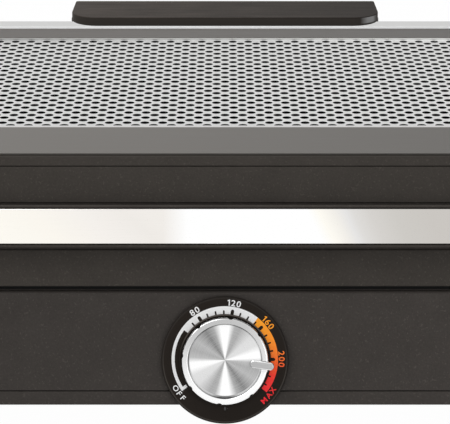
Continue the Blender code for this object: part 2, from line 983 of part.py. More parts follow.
def make_control(look, frame):
    root, knob = frame["root"], frame["knob"]
    control = frame["control"]
    face = fit + dial_height
    plate = piece(
        "dial_plate",
        turned(
            (
                (shaft_hole, fit),
                (dial_radius, fit),
                (dial_radius, face - dial_edge),
                (dial_radius - dial_edge, face),
                (shaft_hole, face),
            ),
            dial_steps,
            closed=True,
        ),
        look["dial"],
        root,
        control,
    )
    combine(
        plate,
        "lens_hole",
        rod(lens_radius + lens_gap, -overrun, face + overrun),
        "DIFFERENCE",
        control @ at(0, -lens_down),
    )
    piece(
        "indicator_lens",
        rod(lens_radius, fit, face + lens_proud),
        look["lens"],
        root,
        control @ at(0, -lens_down),
    )
    collar_inner = knob_radius + collar_clearance
    collar_low = face + fit
    piece(
        "dial_collar",
        turned(
            (
                (collar_inner, collar_low),
                (collar_inner + collar_width, collar_low),
                (collar_inner + collar_width * collar_crown_share, collar_low + collar_height),
                (collar_inner, collar_low + collar_height),
            ),
            dial_steps,
            closed=True,
        ),
        look["dial"],
        root,
        control,
    )

    turned_place = control @ Matrix.Rotation(-pointer_turn, 4, "Z")
    low = face + knob_lift
    high = low + knob_height
    face_radius = knob_radius - knob_taper - knob_ring
    seat = high - knob_recess - knob_face - fit
    bore_top = seat - knob_top
    hollow = knob_radius - knob_wall
    body = piece(
        "knob_body",
        turned(
            (
                (0, seat),
                (face_radius, seat),
                (face_radius, high - knob_edge / 2),
                (face_radius + knob_edge / 2, high),
                (knob_radius - knob_taper - knob_edge, high),
                (knob_radius - knob_taper, high - knob_edge),
                (knob_radius, low),
                (hollow, low),
                (hollow, bore_top),
                (hub_radius, bore_top),
                (hub_radius, low),
                (shaft_radius + fit, low),
                (shaft_radius + fit, bore_top),
                (0, bore_top),
            ),
            dial_steps,
        ),
        look["pale_steel"],
        knob,
        turned_place,
    )
    notch = gather(
        [
            rod(grip_radius, low - overrun, high + overrun, small_steps // 2)
            for index in range(grip_notches)
        ],
        [
            Matrix.Rotation(2 * pi * index / grip_notches, 4, "Z") @ at(knob_radius + grip_out, 0)
            for index in range(grip_notches)
        ],
    )
    combine(body, "grip_cuts", notch, "DIFFERENCE", turned_place)
    slot_half = pointer_width / 2 + pointer_gap
    combine(
        body,
        "pointer_slot",
        block(
            (-slot_half, face_radius - knob_ring, high - knob_recess),
            (slot_half, knob_radius + overrun, high + overrun),
        ),
        "DIFFERENCE",
        turned_place,
    )
    disc = face_radius - pointer_gap
    piece(
        "knob_face",
        turned(
            (
                (0, seat + fit),
                (disc, seat + fit),
                (disc, seat + fit + knob_face - knob_face / 4),
                (disc - knob_face / 4, seat + fit + knob_face),
                (0, seat + fit + knob_face),
            ),
            dial_steps,
        ),
        look["brushed"],
        knob,
        turned_place,
    )
    round_end = pointer_width / 2
    bar = arc(0, pointer_start + round_end, round_end, pi, 2 * pi, small_steps // 2)
    bar += arc(0, pointer_end - round_end, round_end, 0, pi, small_steps // 2)
    extrusion(
        "knob_pointer",
        [bar],
        pointer_height,
        look["pointer"],
        knob,
        turned_place @ at(0, 0, seat + knob_face + 3 * fit + pointer_height / 2),
    )

    bracket_face = -casing_wall * cos(front_lean) - fit
    thermostat_face = bracket_face - bracket_sheet - fit
    holes = [(0, shaft_hole, small_steps)]
    for side in (-1, 1):
        across = side * bracket_screw_spacing / 2
        holes.append((across, bracket_screw_radius + screw_gap, small_steps // 2))
    outer = flat(centred(bracket_width / 2, bracket_height / 2, 0, bracket_radius))
    extrusion(
        "thermostat_bracket",
        [outer] + [circle(x, 0, radius, steps) for x, radius, steps in holes],
        bracket_sheet,
        look["zinc"],
        root,
        control @ at(0, 0, bracket_face - bracket_sheet / 2),
    )
    half, up = thermostat_width / 2, thermostat_height / 2
    piece(
        "thermostat",
        loft(
            [
                centred(half, up, thermostat_face - thermostat_depth, thermostat_edge),
                centred(half, up, thermostat_face, thermostat_edge),
            ]
        ),
        look["phenolic"],
        root,
        control,
    )
    flat_side = shaft_radius - shaft_flat
    turn_cut = arc(0, 0, shaft_radius, radians(120), radians(420), dial_steps // 3)
    shaft_low = thermostat_face + fit
    shaft_high = bore_top - fit
    extrusion(
        "control_shaft",
        [[(x, min(y, flat_side)) for x, y in turn_cut]],
        shaft_high - shaft_low,
        look["zinc"],
        knob,
        turned_place @ at(0, 0, (shaft_low + shaft_high) / 2),
    )


def make_hood(look, frame):
    hood = frame["hood"]
    shell = piece(
        "hood_shell",
        loft(
            [
                casing(hood_foot, wall_edge),
                casing(hood_foot + wall_edge),
                casing(hood_top),
                casing(hood_top, hood_flange),
                casing(hood_top - casing_wall, hood_flange),
                casing(hood_top - casing_wall, casing_wall),
                casing(hood_foot, casing_wall),
            ],
            ring=True,
        ),
        look["shell"],
        hood,
    )
    half = handle_width / 2 + handle_margin
    seat = handle_margin + handle_radius
    combine(
        shell,
        "handle_seat",
        loft(
            [
                outline(
                    half,
                    -handle_down - handle_height - handle_margin,
                    -handle_down + handle_margin,
                    depth,
                    seat,
                )
                for depth in (-handle_recess, overrun)
            ]
        ),
        "DIFFERENCE",
        frame["front"],
    )

    inner_half = top_half - rim_width
    inner_front = -(top_front - rim_width)
    inner_rear = window_depth / 2 + frame_rear - rim_rear_cover
    piece(
        "hood_rim",
        loft(
            [
                casing(rim_foot),
                casing(rim_top - wall_edge / 2),
                casing(rim_top, wall_edge / 2),
                outline(inner_half, inner_front, inner_rear, rim_top, frame_radius / 2),
                outline(inner_half, inner_front, inner_rear, rim_foot, frame_radius / 2),
            ],
            ring=True,
        ),
        look["rim"],
        hood,
    )

    half = window_width / 2
    along = window_depth / 2

    def frame_loop(level, inset=0.0):
        return outline(
            half + frame_side - inset,
            -(along + frame_front - inset),
            along + frame_rear - inset,
            level,
            frame_rear_radius,
            frame_radius,
        )

    def window_loop(grow, level):
        return centred(half + grow, along + grow, level, window_radius + grow)

    under = frame_top - frame_sheet - frame_rise * mesh_border / frame_side
    lip_foot = mesh_top + fit
    piece(
        "hood_frame",
        loft(
            [
                frame_loop(wall_top),
                window_loop(frame_roll, frame_top),
                window_loop(0, frame_top - frame_roll / 2),
                window_loop(0, lip_foot),
                window_loop(frame_sheet, lip_foot),
                window_loop(frame_roll + frame_sheet, under + frame_sheet / 2),
                frame_loop(wall_top - frame_sheet),
            ],
            ring=True,
        ),
        look["steel"],
        hood,
    )
    ledge_front = along + frame_rear + fit
    ledge_rear = ledge_front + ledge_depth
    ledge_half = half + frame_side
    low = rim_top + fit
    level = low + ledge_height
    near = frame_rear_radius / 4
    far = ledge_depth - ledge_bead - near
    inside = ledge_half - near
    back = ledge_rear - near
    levels = [
        outline(ledge_half, ledge_front, ledge_rear, low, far, near),
        outline(ledge_half, ledge_front, ledge_rear, wall_top, far, near),
        outline(inside, ledge_front + near, back, level, far - near, near / 2),
    ]
    ledge = piece("rear_ledge", loft(levels), look["pale_steel"], hood)
    bead_half = inside - ledge_bead
    bead_front = ledge_front + near + fit
    bead_rear = bead_front + ledge_bead
    crown = level + ledge_bead_rise
    bead = [
        outline(bead_half - slope, bead_front + slope, bead_rear - slope, z, near / 2)
        for slope, z in ((0, low + ledge_height / 2), (0, crown - near / 2), (near / 3, crown))
    ]
    combine(ledge, "ledge_bead_bar", loft(bead), "UNION")

    sheet_half = half + mesh_border - fit
    sheet_along = along + mesh_border - fit
    rows = int((2 * along - hole_width) // (hole_pitch / 2))
    holes = []
    for row in range(rows + 1):
        y = (row - rows / 2) * hole_pitch / 2
        shift = 0 if row % 2 else hole_pitch / 2
        across = int((half - hole_width / 2 - shift) // hole_pitch)
        places = [shift + hole_pitch * index for index in range(across + 1)]
        places += [-x for x in places if x > 0]
        for x in places:
            holes.append(circle(x, y, hole_width / 2, hole_sides))
    extrusion(
        "hood_mesh",
        [flat(centred(sheet_half, sheet_along, 0, window_radius))] + holes,
        mesh_sheet,
        look["pale_steel"],
        hood,
        at(0, 0, mesh_foot + mesh_sheet / 2),
    )

    clamp_top = mesh_foot - fit
    clamp_foot = clamp_top - retainer_height
    inner = frame_roll
    outer = frame_roll + retainer_width
    retainer = piece(
        "mesh_retainer",
        loft(
            [
                centred(half + inner, along + inner, clamp_foot, retainer_radius),
                centred(half + inner, along + inner, clamp_top, retainer_radius),
                centred(half + outer, along + outer, clamp_top, retainer_radius + retainer_width),
                centred(half + outer, along + outer, clamp_foot, retainer_radius + retainer_width),
            ],
            ring=True,
        ),
        look["zinc"],
        hood,
    )
    line = along + (inner + outer) / 2
    spots = quarters(retainer_screw_share * window_width / 2, line)
    bores = gather(
        [rod(screw_shank + screw_gap, clamp_foot - overrun, clamp_top + overrun) for spot in spots],
        [at(x, y) for corner, x, y in spots],
    )
    combine(retainer, "retainer_holes", bores, "DIFFERENCE")
    for corner, x, y in spots:
        piece(
            "retainer_screw_" + corner,
            screw(clamp_foot - fit, retainer_height),
            look["zinc"],
            hood,
            at(x, y),
        )


def make_handle(look, frame):
    front, hood = frame["front"], frame["hood"]
    half = handle_width / 2
    top, foot = -handle_down, -handle_down - handle_height
    low = fit - handle_recess

    def section(inset, depth):
        radius = max(handle_radius - inset, handle_edge)
        return outline(half - inset, foot + inset, top - inset, depth, radius)

    pocket = handle_stand - band_depth - fit
    rim = handle_rim
    piece(
        "handle_bezel",
        loft(
            [
                section(0, low),
                section(0, handle_stand - handle_edge),
                section(handle_edge, handle_stand),
                section(rim - handle_edge / 2, handle_stand),
                section(rim, handle_stand - handle_edge / 2),
                section(rim, pocket),
            ]
        ),
        look["shell"],
        hood,
        front,
    )
    lift = pocket + fit
    piece(
        "handle_band",
        loft(
            [
                section(rim + band_gap, lift),
                section(rim + band_gap, lift + band_depth - band_edge),
                section(rim + band_gap + band_edge, lift + band_depth + band_proud),
            ]
        ),
        look["mirror"],
        hood,
        front,
    )


def rear_at(level):
    return top_rear + (wall_top - level) * tan(rear_lean)


def make_hinge(look, frame):
    root, hood = frame["root"], frame["hood"]
    px, py, pz = pivot
    # Outlines lie in the YZ plane and are extruded along X
    side_on = Matrix(((0, 0, 1, 0), (1, 0, 0, 0), (0, 1, 0, 0), (0, 0, 0, 1)))
    pin_hole = circle(py, pz, hinge_pin_radius + hinge_pin_gap, small_steps)
    low, high = base_top - ear_down, base_top - wall_edge
    ear = [
        (rear_at(low) + fit, low),
        (py + barrel_radius, low + ear_thick),
    ]
    ear += arc(py, pz, barrel_radius, 0, pi, small_steps // 2)
    ear += [(rear_at(high) + fit, high)]
    ear_middle = leaf_half + fit + ear_thick / 2
    for name, side in (("left", -1), ("right", 1)):
        place = at(side * ear_middle) @ side_on
        extrusion("hinge_ear_" + name, [ear, pin_hole], ear_thick, look["zinc"], root, place)
    leaf_foot, leaf_top = pz + leaf_low, pz + leaf_high
    arm = [
        (rear_at(leaf_foot) + fit, leaf_foot),
        (py - barrel_radius, pz),
    ]
    arm += arc(py, pz, barrel_radius, pi, 2 * pi, small_steps // 2)[1:]
    arm += [
        (rear_at(leaf_foot) + fit + leaf_sheet * 2, leaf_foot),
        (rear_at(leaf_top) + fit + leaf_sheet, leaf_top),
        (rear_at(leaf_top) + fit, leaf_top),
    ]
    extrusion("hinge_leaf", [arm, pin_hole], 2 * leaf_half, look["zinc"], hood, side_on)
    pin_long = ear_thick * 3
    for name, side in (("left", -1), ("right", 1)):
        middle = side * (leaf_half + fit + ear_thick - pin_long / 2)
        piece(
            "hinge_pin_" + name,
            rod(hinge_pin_radius, -pin_long / 2, pin_long / 2),
            look["zinc"],
            root,
            at(middle, py, pz) @ Matrix.Rotation(pi / 2, 4, "Y"),
        )

    half = cover_width / 2
    front = window_depth / 2 + frame_rear - cover_reach
    rear = front + cover_depth
    foot = wall_top + cover_lift
    top = foot + cover_thick
    edge = cover_edge

    def slab(inset, level):
        points = outline(
            half - inset,
            front + inset,
            rear - inset,
            level,
            cover_rear_radius - inset,
            cover_radius - inset,
        )
        for point in points:
            point.x *= 1 - cover_taper / half * (point.y - front) / cover_depth
        return points

    levels = ((edge, foot), (0, foot + edge), (0, top - edge), (edge, top))
    cover = piece(
        "hinge_cover",
        loft([slab(inset, level) for inset, level in levels]),
        look["cover"],
        hood,
    )
    low = pz + shroud_low
    back = rear - edge

    def shroud(level):
        near = max(rear_at(level), rear_at(low)) + fit + leaf_sheet * 2 + fit
        return outline(shroud_half, near, back, level, shroud_radius / 2)

    combine(cover, "hinge_shroud", loft([shroud(low), shroud(foot + edge)]), "UNION")
    piece(
        "cord_gland",
        turned(
            (
                (gland_bore, -casing_wall - gland_nut - fit),
                (gland_neck - fit, -casing_wall - gland_nut - fit),
                (gland_neck, fit),
                (gland_flange, fit),
                (gland_flange - edge, gland_flange_height),
                (gland_bore + edge, gland_flange_height),
                (gland_bore, gland_flange_height - edge),
            ),
            small_steps * 2,
            closed=True,
        ),
        look["rubber"],
        root,
        frame["rear"] @ at(gland_across, gland_up),
    )


def centre_on_footprint(root):
    # Moves everything so that the origin is under the middle of the grill
    graph = bpy.context.evaluated_depsgraph_get()
    reach = []
    for obj in bpy.context.scene.objects:
        if obj.type in {"MESH", "CURVE"} and not obj.hide_render:
            solid = obj.evaluated_get(graph)
            reach += [(solid.matrix_world @ vertex.co).y for vertex in solid.to_mesh().vertices]
            solid.to_mesh_clear()
    root.location.y = -(min(reach) + max(reach)) / 2


clear_scene()
look = finishes()
frame = guides()
make_base(look, frame)
make_deck(look, frame)
make_plate(look, frame)
make_heating(look, frame)
make_tray(look, frame)
make_control(look, frame)
make_hood(look, frame)
make_handle(look, frame)
make_hinge(look, frame)
centre_on_footprint(frame["root"])
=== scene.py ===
# Smokeless indoor grill: fine pieces, finishes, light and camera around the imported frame

import json
from math import cos, pi, radians, sin, tan

import bmesh
import bpy
from mathutils import Matrix, Vector

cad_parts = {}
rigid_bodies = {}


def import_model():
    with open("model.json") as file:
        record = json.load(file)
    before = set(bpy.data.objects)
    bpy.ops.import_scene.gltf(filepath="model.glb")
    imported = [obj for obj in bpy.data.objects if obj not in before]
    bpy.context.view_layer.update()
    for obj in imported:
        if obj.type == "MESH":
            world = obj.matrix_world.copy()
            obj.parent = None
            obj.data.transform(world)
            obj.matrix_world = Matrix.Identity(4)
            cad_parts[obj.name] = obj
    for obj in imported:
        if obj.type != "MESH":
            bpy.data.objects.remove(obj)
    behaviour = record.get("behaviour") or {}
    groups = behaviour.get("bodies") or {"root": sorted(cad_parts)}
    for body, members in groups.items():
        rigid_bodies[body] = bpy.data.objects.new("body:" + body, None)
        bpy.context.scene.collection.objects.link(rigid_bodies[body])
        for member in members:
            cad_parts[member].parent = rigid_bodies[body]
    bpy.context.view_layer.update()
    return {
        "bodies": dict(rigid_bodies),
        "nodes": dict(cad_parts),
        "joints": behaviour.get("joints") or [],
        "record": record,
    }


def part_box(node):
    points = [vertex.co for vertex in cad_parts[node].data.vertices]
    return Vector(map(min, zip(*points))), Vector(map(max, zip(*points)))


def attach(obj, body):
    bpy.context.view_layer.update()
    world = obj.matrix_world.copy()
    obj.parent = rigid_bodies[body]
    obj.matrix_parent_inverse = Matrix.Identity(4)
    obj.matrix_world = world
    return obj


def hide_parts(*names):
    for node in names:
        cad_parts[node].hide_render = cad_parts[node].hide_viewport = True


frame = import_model()
nodes = frame["nodes"]
scene = bpy.context.scene
print("frame loaded,", len(nodes), "nodes")

# Sizes in metres, measured from the middle of the window and up from the table
casing = {
    "topHalf": 0.247,  # at the line where the walls meet the steel
    "topFront": 0.14395,
    "topRear": 0.16045,
    "wallTop": 0.1422,
    "frontLean": radians(18.7),
    "sideLean": radians(8),
    "rearLean": radians(6),
    "corner": 0.024,
    "wall": 0.0028,
    "edge": 0.0011,  # rounding along the edges
    "cornerSteps": 14,
    "edgeSteps": 4,
    "fit": 0.0003,
    "pass": 0.003,  # how far a cutter runs past
    "sharp": radians(38),  # edges beyond this angle stay sharp
}
fit, over = casing["fit"], casing["pass"]
levels = {
    "legTop": 0.0148,
    "panTop": 0.0218,
    "panFloor": 0.0173,
    "baseFoot": 0.0223,
    "baseTop": 0.0720,
    "hoodFoot": 0.0750,
    "hoodTop": 0.1360,
    "rimFoot": 0.1364,
    "rimTop": 0.1411,
    "frameTop": 0.1453,
    "meshTop": 0.1433,
    "meshFoot": 0.1425,
    "seatTop": 0.0645,
}


def at(x=0.0, y=0.0, z=0.0):
    return Matrix.Translation((x, y, z))


def turnedBy(angle, axis="Z"):
    return Matrix.Rotation(angle, 4, axis)


meshLow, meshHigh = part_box("hood_mesh")
bodyPlace = at(y=(meshLow.y + meshHigh.y) / 2)
frontWall = bodyPlace @ at(0, -casing["topFront"], casing["wallTop"])
frontWall = frontWall @ turnedBy(pi / 2 - casing["frontLean"], "X")


def srgb(red, green, blue):  # a display colour of 0 to 255 as linear light
    def linear(value):
        share = value / 255
        return share / 12.92 if share <= 0.04045 else ((share + 0.055) / 1.055) ** 2.4

    return (linear(red), linear(green), linear(blue), 1)


def grey(value):
    return srgb(value, value, value)


class Signal:  # one socket of a shader, used in sums
    def __init__(self, owner, socket):
        self.owner = owner
        self.socket = socket

    def math(self, operation, *terms, clamp=False):
        settings = {"operation": operation, "use_clamp": clamp}
        return self.owner.add("Math", settings, dict(enumerate(terms)))

    def __add__(self, other):
        return self.math("ADD", self, other)

    def __sub__(self, other):
        return self.math("SUBTRACT", self, other)

    def __rsub__(self, other):
        return self.math("SUBTRACT", other, self)

    def __mul__(self, other):
        return self.math("MULTIPLY", self, other)

    def __truediv__(self, other):
        return self.math("DIVIDE", self, other)

    def above(self, edge, width):  # 0 below the edge, 1 above it, soft over the width
        return self.math("MULTIPLY_ADD", self, 1 / width, 0.5 - edge / width, clamp=True)

    def size(self):
        return self.math("ABSOLUTE", self)


class Nodes:  # a node tree, whose nodes all come from add
    def __init__(self, tree):
        self.tree = tree

    def add(self, kind, settings=None, inputs=None, outlet=0):
        node = self.tree.nodes.new("ShaderNode" + kind)
        for key, value in (settings or {}).items():
            if key == "stops":
                self.fillRamp(node.color_ramp, value)
            else:
                setattr(node, key, value)
        for key, value in (inputs or {}).items():
            self.join(node.inputs[key], value)
        return Signal(self, node.outputs[outlet])

    def fillRamp(self, ramp, stops):
        for place, colour in stops[2:]:
            ramp.elements.new(place)
        for element, (place, colour) in zip(ramp.elements, stops):
            element.position = place
            element.color = colour

    def join(self, socket, value):
        if isinstance(value, Signal):
            self.tree.links.new(value.socket, socket)
        else:
            socket.default_value = value

    def plainRays(self):  # 1 for rays from the camera, a mirror or clear glass
        seen = self.add("LightPath", outlet="Is Camera Ray")
        rays = seen.socket.node.outputs
        for ray in ("Is Glossy Ray", "Is Transmission Ray"):
            seen = seen.math("MAXIMUM", seen, Signal(self, rays[ray]))
        return seen


class Finish(Nodes):  # one material
    def __init__(self, name, roughness=0.5, metallic=0.0, level=0.5):
        self.material = bpy.data.materials.new(name)
        self.material.use_nodes = True
        super().__init__(self.material.node_tree)
        self.shader = self.tree.nodes["Principled BSDF"]
        self.set("Roughness", roughness)
        self.set("Metallic", metallic)
        self.set("Specular IOR Level", level)
        self.place = self.add("TexCoord", outlet="Object")
        self.x, self.y, self.z = self.parts(self.place)

    def set(self, socket, value):
        self.join(self.shader.inputs[socket], value)

    def noise(self, scale, detail=2, stretch=None):
        place = self.place
        if stretch:
            place = self.add("VectorMath", {"operation": "MULTIPLY"}, {0: place, 1: stretch})
        return self.add("TexNoise", None, {"Vector": place, "Scale": scale, "Detail": detail})

    def mix(self, factor, first, second, blend="MIX"):
        settings = {"data_type": "RGBA", "blend_type": blend}
        return self.add("Mix", settings, {0: factor, 6: first, 7: second}, outlet=2)

    def ramp(self, factor, stops):  # stops of (place, grey) or of (place, red, green, blue), 0 to 255
        stops = [(place, srgb(*tone) if tone[1:] else grey(*tone)) for place, *tone in stops]
        return self.add("ValToRGB", {"stops": stops}, {0: factor})

    def parts(self, place):  # the three parts of a place or a colour
        axes = self.add("SeparateXYZ", None, {0: place}).socket.node.outputs
        return [Signal(self, axis) for axis in axes]

    def paintedLightSlope(self, tone, lean):  # painted light: the tone grows by this share per metre to the right, as if lit from one side
        return self.mix(1.0, tone, self.x * lean + 1, "MULTIPLY") if lean else tone

    def done(self, tone, roughness=None, height=None, distance=0.0, strength=1.0):
        self.set("Base Color", tone)
        if roughness:
            self.set("Roughness", roughness)
        if height:
            inputs = {"Height": height, "Distance": distance, "Strength": strength}
            self.set("Normal", self.add("Bump", None, inputs))
        return self.material


def shade(colour, factor):
    return (*(min(value * factor, 1) for value in colour[:3]), 1)


plasticLook = {
    "mottle": 60,  # broad, faint clouding
    "mottleDepth": 0.40,
    "grain": 950,  # fine moulded grain
    "grainDepth": 0.00003,
    "speckle": 850,  # pale flecks
    "speckleEdge": 0.672,
    "speckleGain": 1.9,
    "streakScale": 210,
    "streak": (0.14, 1, 1),
}


def mouldedPlastic(name, colour, roughness=0.55, level=0.1, lean=0.0, streak=0.0, paintedLightMask=None):
    look = plasticLook
    finish = Finish(name, roughness, level=level)
    mottle = finish.noise(look["mottle"], 5)
    grain = finish.noise(look["grain"], 2)
    speckle = finish.noise(look["speckle"], 1).above(look["speckleEdge"], 0.05)
    low = shade(colour, 1 - look["mottleDepth"])
    high = shade(colour, 1 + look["mottleDepth"])
    tone = finish.mix(mottle * 0.4 + grain * 0.6, low, high)
    tone = finish.mix(speckle * 0.45, tone, shade(colour, look["speckleGain"]))
    if streak:
        lines = finish.noise(look["streakScale"], 3, look["streak"])
        tone = finish.mix(1.0, tone, (lines - 0.5) * streak + 1, "MULTIPLY")
    tone = finish.paintedLightSlope(tone, lean)
    # painted light or shade over part of the surface
    if paintedLightMask:
        share, other = paintedLightMask(finish)
        tone = finish.mix(share, tone, other)
    return finish.done(tone, grain * 0.16 + (roughness - 0.08), grain, look["grainDepth"])


steelLook = {
    "grain": 900,  # fine lines of the brushing
    "lines": (0.03, 1, 1),
    "cloud": 14,  # broad, faint clouding
    "clouds": (0.4, 1, 1),
    "shine": 252,  # display grey of the painted highlights
    "rearShadeStart": 0.05,  # where the painted shade on the rear sets in
    "rearSoft": 0.08,
}


def brushedSteel(name, colour, roughness=0.34, metallic=1.0, depth=0.09, lean=0.0, rear=None, bright=None):
    finish = Finish(name, roughness, metallic)
    look = steelLook
    grain = finish.noise(look["grain"], 2, look["lines"])
    cloud = finish.noise(look["cloud"], 2, look["clouds"])
    tone = finish.mix(grain * 0.7 + cloud * 0.3, shade(colour, 1 - depth), shade(colour, 1 + depth))
    # painted shade towards the rear, in a warm tint
    if rear:
        behind = finish.y.above(look["rearShadeStart"], look["rearSoft"])
        tone = finish.mix(1.0, tone, finish.mix(behind, grey(255), rear), "MULTIPLY")
    # painted highlight, less metallic, where the mask is 1
    if bright:
        share = bright(finish)
        tone = finish.mix(share, tone, grey(look["shine"]))
        finish.set("Metallic", (1 - share) * metallic)
    return finish.done(finish.paintedLightSlope(tone, lean), grain * 0.12 + (roughness - 0.06), grain, 0.00001, 0.5)


def sheetMetal(name, colour, roughness=0.35, spangle=170):
    finish = Finish(name, roughness, 1.0)
    crystal = finish.add("TexVoronoi", None, {"Vector": finish.place, "Scale": spangle}, "Color")
    flake = finish.parts(crystal)[0]
    grain = finish.noise(700, 3)
    tone = finish.mix(flake * 0.6 + grain * 0.4, shade(colour, 0.86), shade(colour, 1.12))
    return finish.done(tone, flake * 0.14 + (roughness - 0.07), grain, 0.00002, 0.4)


def castCoating(name, colour):
    finish = Finish(name)
    grain = finish.noise(900, 3)
    fleck = finish.noise(420, 1).above(0.7, 0.04)
    tone = finish.mix(grain, shade(colour, 0.85), shade(colour, 1.2))
    tone = finish.mix(fleck * 0.5, tone, shade(colour, 2.6))
    return finish.done(tone, grain * 0.2 + 0.36, grain, 0.00005)


def heatedSheath(name):
    finish = Finish(name, 0.5, 0.9)
    grain = finish.noise(1200, 2)
    stops = [(0.30, 74, 70, 68), (0.48, 98, 88, 78), (0.58, 84, 82, 92), (0.72, 66, 62, 60)]
    tone = finish.ramp(finish.noise(40, 3), stops)
    return finish.done(tone, grain * 0.3 + 0.35, grain, 0.00003)


def plainSolid(name, colour, roughness, grain=900, depth=0.12, bump=0.00003, level=0.4):
    finish = Finish(name, roughness, level=level)
    fine = finish.noise(grain, 3)
    broad = finish.noise(grain / 30, 2)
    tone = finish.mix(fine * 0.5 + broad * 0.5, shade(colour, 1 - depth), shade(colour, 1 + depth))
    return finish.done(tone, fine * 0.15 + (roughness - 0.07), fine, bump)


charcoal = mouldedPlastic("charcoalPlastic", srgb(59, 55, 51))
zinc = sheetMetal("zincSteel", srgb(168, 169, 171), 0.4)
brightSheet = brushedSteel("brightSheet", srgb(190, 191, 193), 0.4)
castPlate = castCoating("coatedCasting", srgb(29, 28, 28))
sheath = heatedSheath("elementSheath")
ceramic = plainSolid("whiteCeramic", srgb(226, 221, 210), 0.6, 700, 0.06)
rubber = plainSolid("footRubber", srgb(24, 24, 24), 0.85, 1100, 0.2, 0.00006, 0.25)
phenolic = plainSolid("phenolic", srgb(34, 31, 29), 0.45, 600, 0.2)
print("finishes made")


def roundedLoop(half, front, rear, z, radius, frontRadius=None):  # rounded rectangle
    frontRadius = radius if frontRadius is None else frontRadius
    corners = (
        (half - radius, rear - radius, radius),
        (radius - half, rear - radius, radius),
        (frontRadius - half, front + frontRadius, frontRadius),
        (half - frontRadius, front + frontRadius, frontRadius),
    )
    steps = casing["cornerSteps"]
    points = []
    for corner, (x, y, r) in enumerate(corners):
        for step in range(steps + 1):
            turn = pi / 2 * (corner + step / steps)
            points.append(Vector((x + r * cos(turn), y + r * sin(turn), z)))
    return points


def outline(half, front, rear, radius, frontRadius=None, shrink=0.0):
    # A section to be called with (z, inset); its corners shrink by this share of the inset
    near = radius if frontRadius is None else frontRadius

    def section(z, inset=0.0):
        less = inset * shrink
        return roundedLoop(half - inset, front + inset, rear - inset, z, radius - less, near - less)

    return section


def wallLoop(level, inset=0.0, z=None):  # section of the leaning casing
    drop = casing["wallTop"] - level
    return roundedLoop(
        casing["topHalf"] + drop * tan(casing["sideLean"]) - inset,
        -(casing["topFront"] + drop * tan(casing["frontLean"]) - inset),
        casing["topRear"] + drop * tan(casing["rearLean"]) - inset,
        level if z is None else z,
        max(casing["corner"] - inset, casing["corner"] / 2),
    )


def quarter(edge, steps=None, reverse=False):
    # Pairs of (inset, distance to the end) round a soft edge, from the wall to the end face
    steps = steps or casing["edgeSteps"]
    turns = [pi / 2 * step / steps for step in range(steps + 1)]
    pairs = [(edge * (1 - cos(turn)), edge * (1 - sin(turn))) for turn in turns]
    return pairs[::-1] if reverse else pairs


def crown(section, top, edge, steps=None):  # sections round a soft upper edge
    return [section(top - rest, inset) for inset, rest in quarter(edge, steps)]


def foot(section, low, edge, steps=None):  # sections round a soft lower edge
    return [section(low + rest, inset) for inset, rest in quarter(edge, steps, True)]


def loft(loops, ring=False):
    shape = bmesh.new()
    rows = [[shape.verts.new(point) for point in loop] for loop in loops]
    pairs = list(zip(rows, rows[1:]))
    if ring:
        pairs.append((rows[-1], rows[0]))
    else:
        shape.faces.new(rows[0])
        shape.faces.new(rows[-1])
    for low, high in pairs:
        for a, b, c, d in zip(low, low[1:] + low[:1], high[1:] + high[:1], high):
            shape.faces.new((a, b, c, d))
    bmesh.ops.recalc_face_normals(shape, faces=shape.faces)
    return shape


def block(low, high):
    sides = ((low[0], low[1]), (high[0], low[1]), (high[0], high[1]), (low[0], high[1]))
    return loft([[Vector((x, y, z)) for x, y in sides] for z in (low[2], high[2])])


def turned(profile, steps=48, closed=False):  # profile of (radius, height) about Z
    shape = bmesh.new()
    points = [shape.verts.new((radius, 0, height)) for radius, height in profile]
    edges = [shape.edges.new(pair) for pair in zip(points, points[1:])]
    if closed:
        edges.append(shape.edges.new((points[-1], points[0])))
    bmesh.ops.spin(
        shape, geom=points + edges, cent=(0, 0, 0), axis=(0, 0, 1),
        angle=2 * pi, steps=steps, use_merge=True,
    )
    bmesh.ops.remove_doubles(shape, verts=shape.verts, dist=0.000002)
    bmesh.ops.recalc_face_normals(shape, faces=shape.faces)
    return shape


def rod(radius, low, high, steps=48):
    return turned(((0, low), (radius, low), (radius, high), (0, high)), steps)


def arcPoints(x, y, radius, start, end, steps):
    turns = (start + (end - start) * step / steps for step in range(steps + 1))
    return [(x + radius * cos(turn), y + radius * sin(turn)) for turn in turns]


def gather(parts):  # several (shape, place) pairs in one mesh
    joined = bmesh.new()
    for shape, place in parts:
        shape.transform(place)
        mesh = bpy.data.meshes.new("gathered")
        shape.to_mesh(mesh)
        shape.free()
        joined.from_mesh(mesh)
        bpy.data.meshes.remove(mesh)
    return joined


def smooth(mesh):
    mesh.shade_smooth()
    mesh.set_sharp_from_angle(angle=casing["sharp"])


def addObject(name, data, place=None):
    obj = bpy.data.objects.new(name, data)
    scene.collection.objects.link(obj)
    if place:
        obj.matrix_world = place
    return obj


def newObject(name, shape, place):
    mesh = bpy.data.meshes.new(name)
    shape.to_mesh(mesh)
    shape.free()
    return addObject(name, mesh, place)


def finalMesh(obj):
    bpy.context.view_layer.update()
    graph = bpy.context.evaluated_depsgraph_get()
    return bpy.data.meshes.new_from_object(obj.evaluated_get(graph), depsgraph=graph)


def freeze(obj):  # modifiers become mesh
    mesh = finalMesh(obj)
    obj.modifiers.clear()
    obj.data = mesh


def carve(obj, shape, place, operation="DIFFERENCE"):
    cutter = newObject(obj.name + "Cutter", shape, place)
    modifier = obj.modifiers.new("carve", "BOOLEAN")
    modifier.object = cutter
    modifier.operation = operation
    freeze(obj)
    bpy.data.objects.remove(cutter)


def makePiece(name, shape, surface, body, stand=None, place=bodyPlace, cuts=()):
    obj = newObject(name, shape, place)
    for cut in cuts:
        carve(obj, *cut)
    smooth(obj.data)
    obj.data.materials.clear()
    obj.data.materials.append(surface)
    normals = obj.modifiers.new("evenShading", "WEIGHTED_NORMAL")
    normals.keep_sharp = True
    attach(obj, body)
    if stand:
        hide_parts(stand)
    return obj


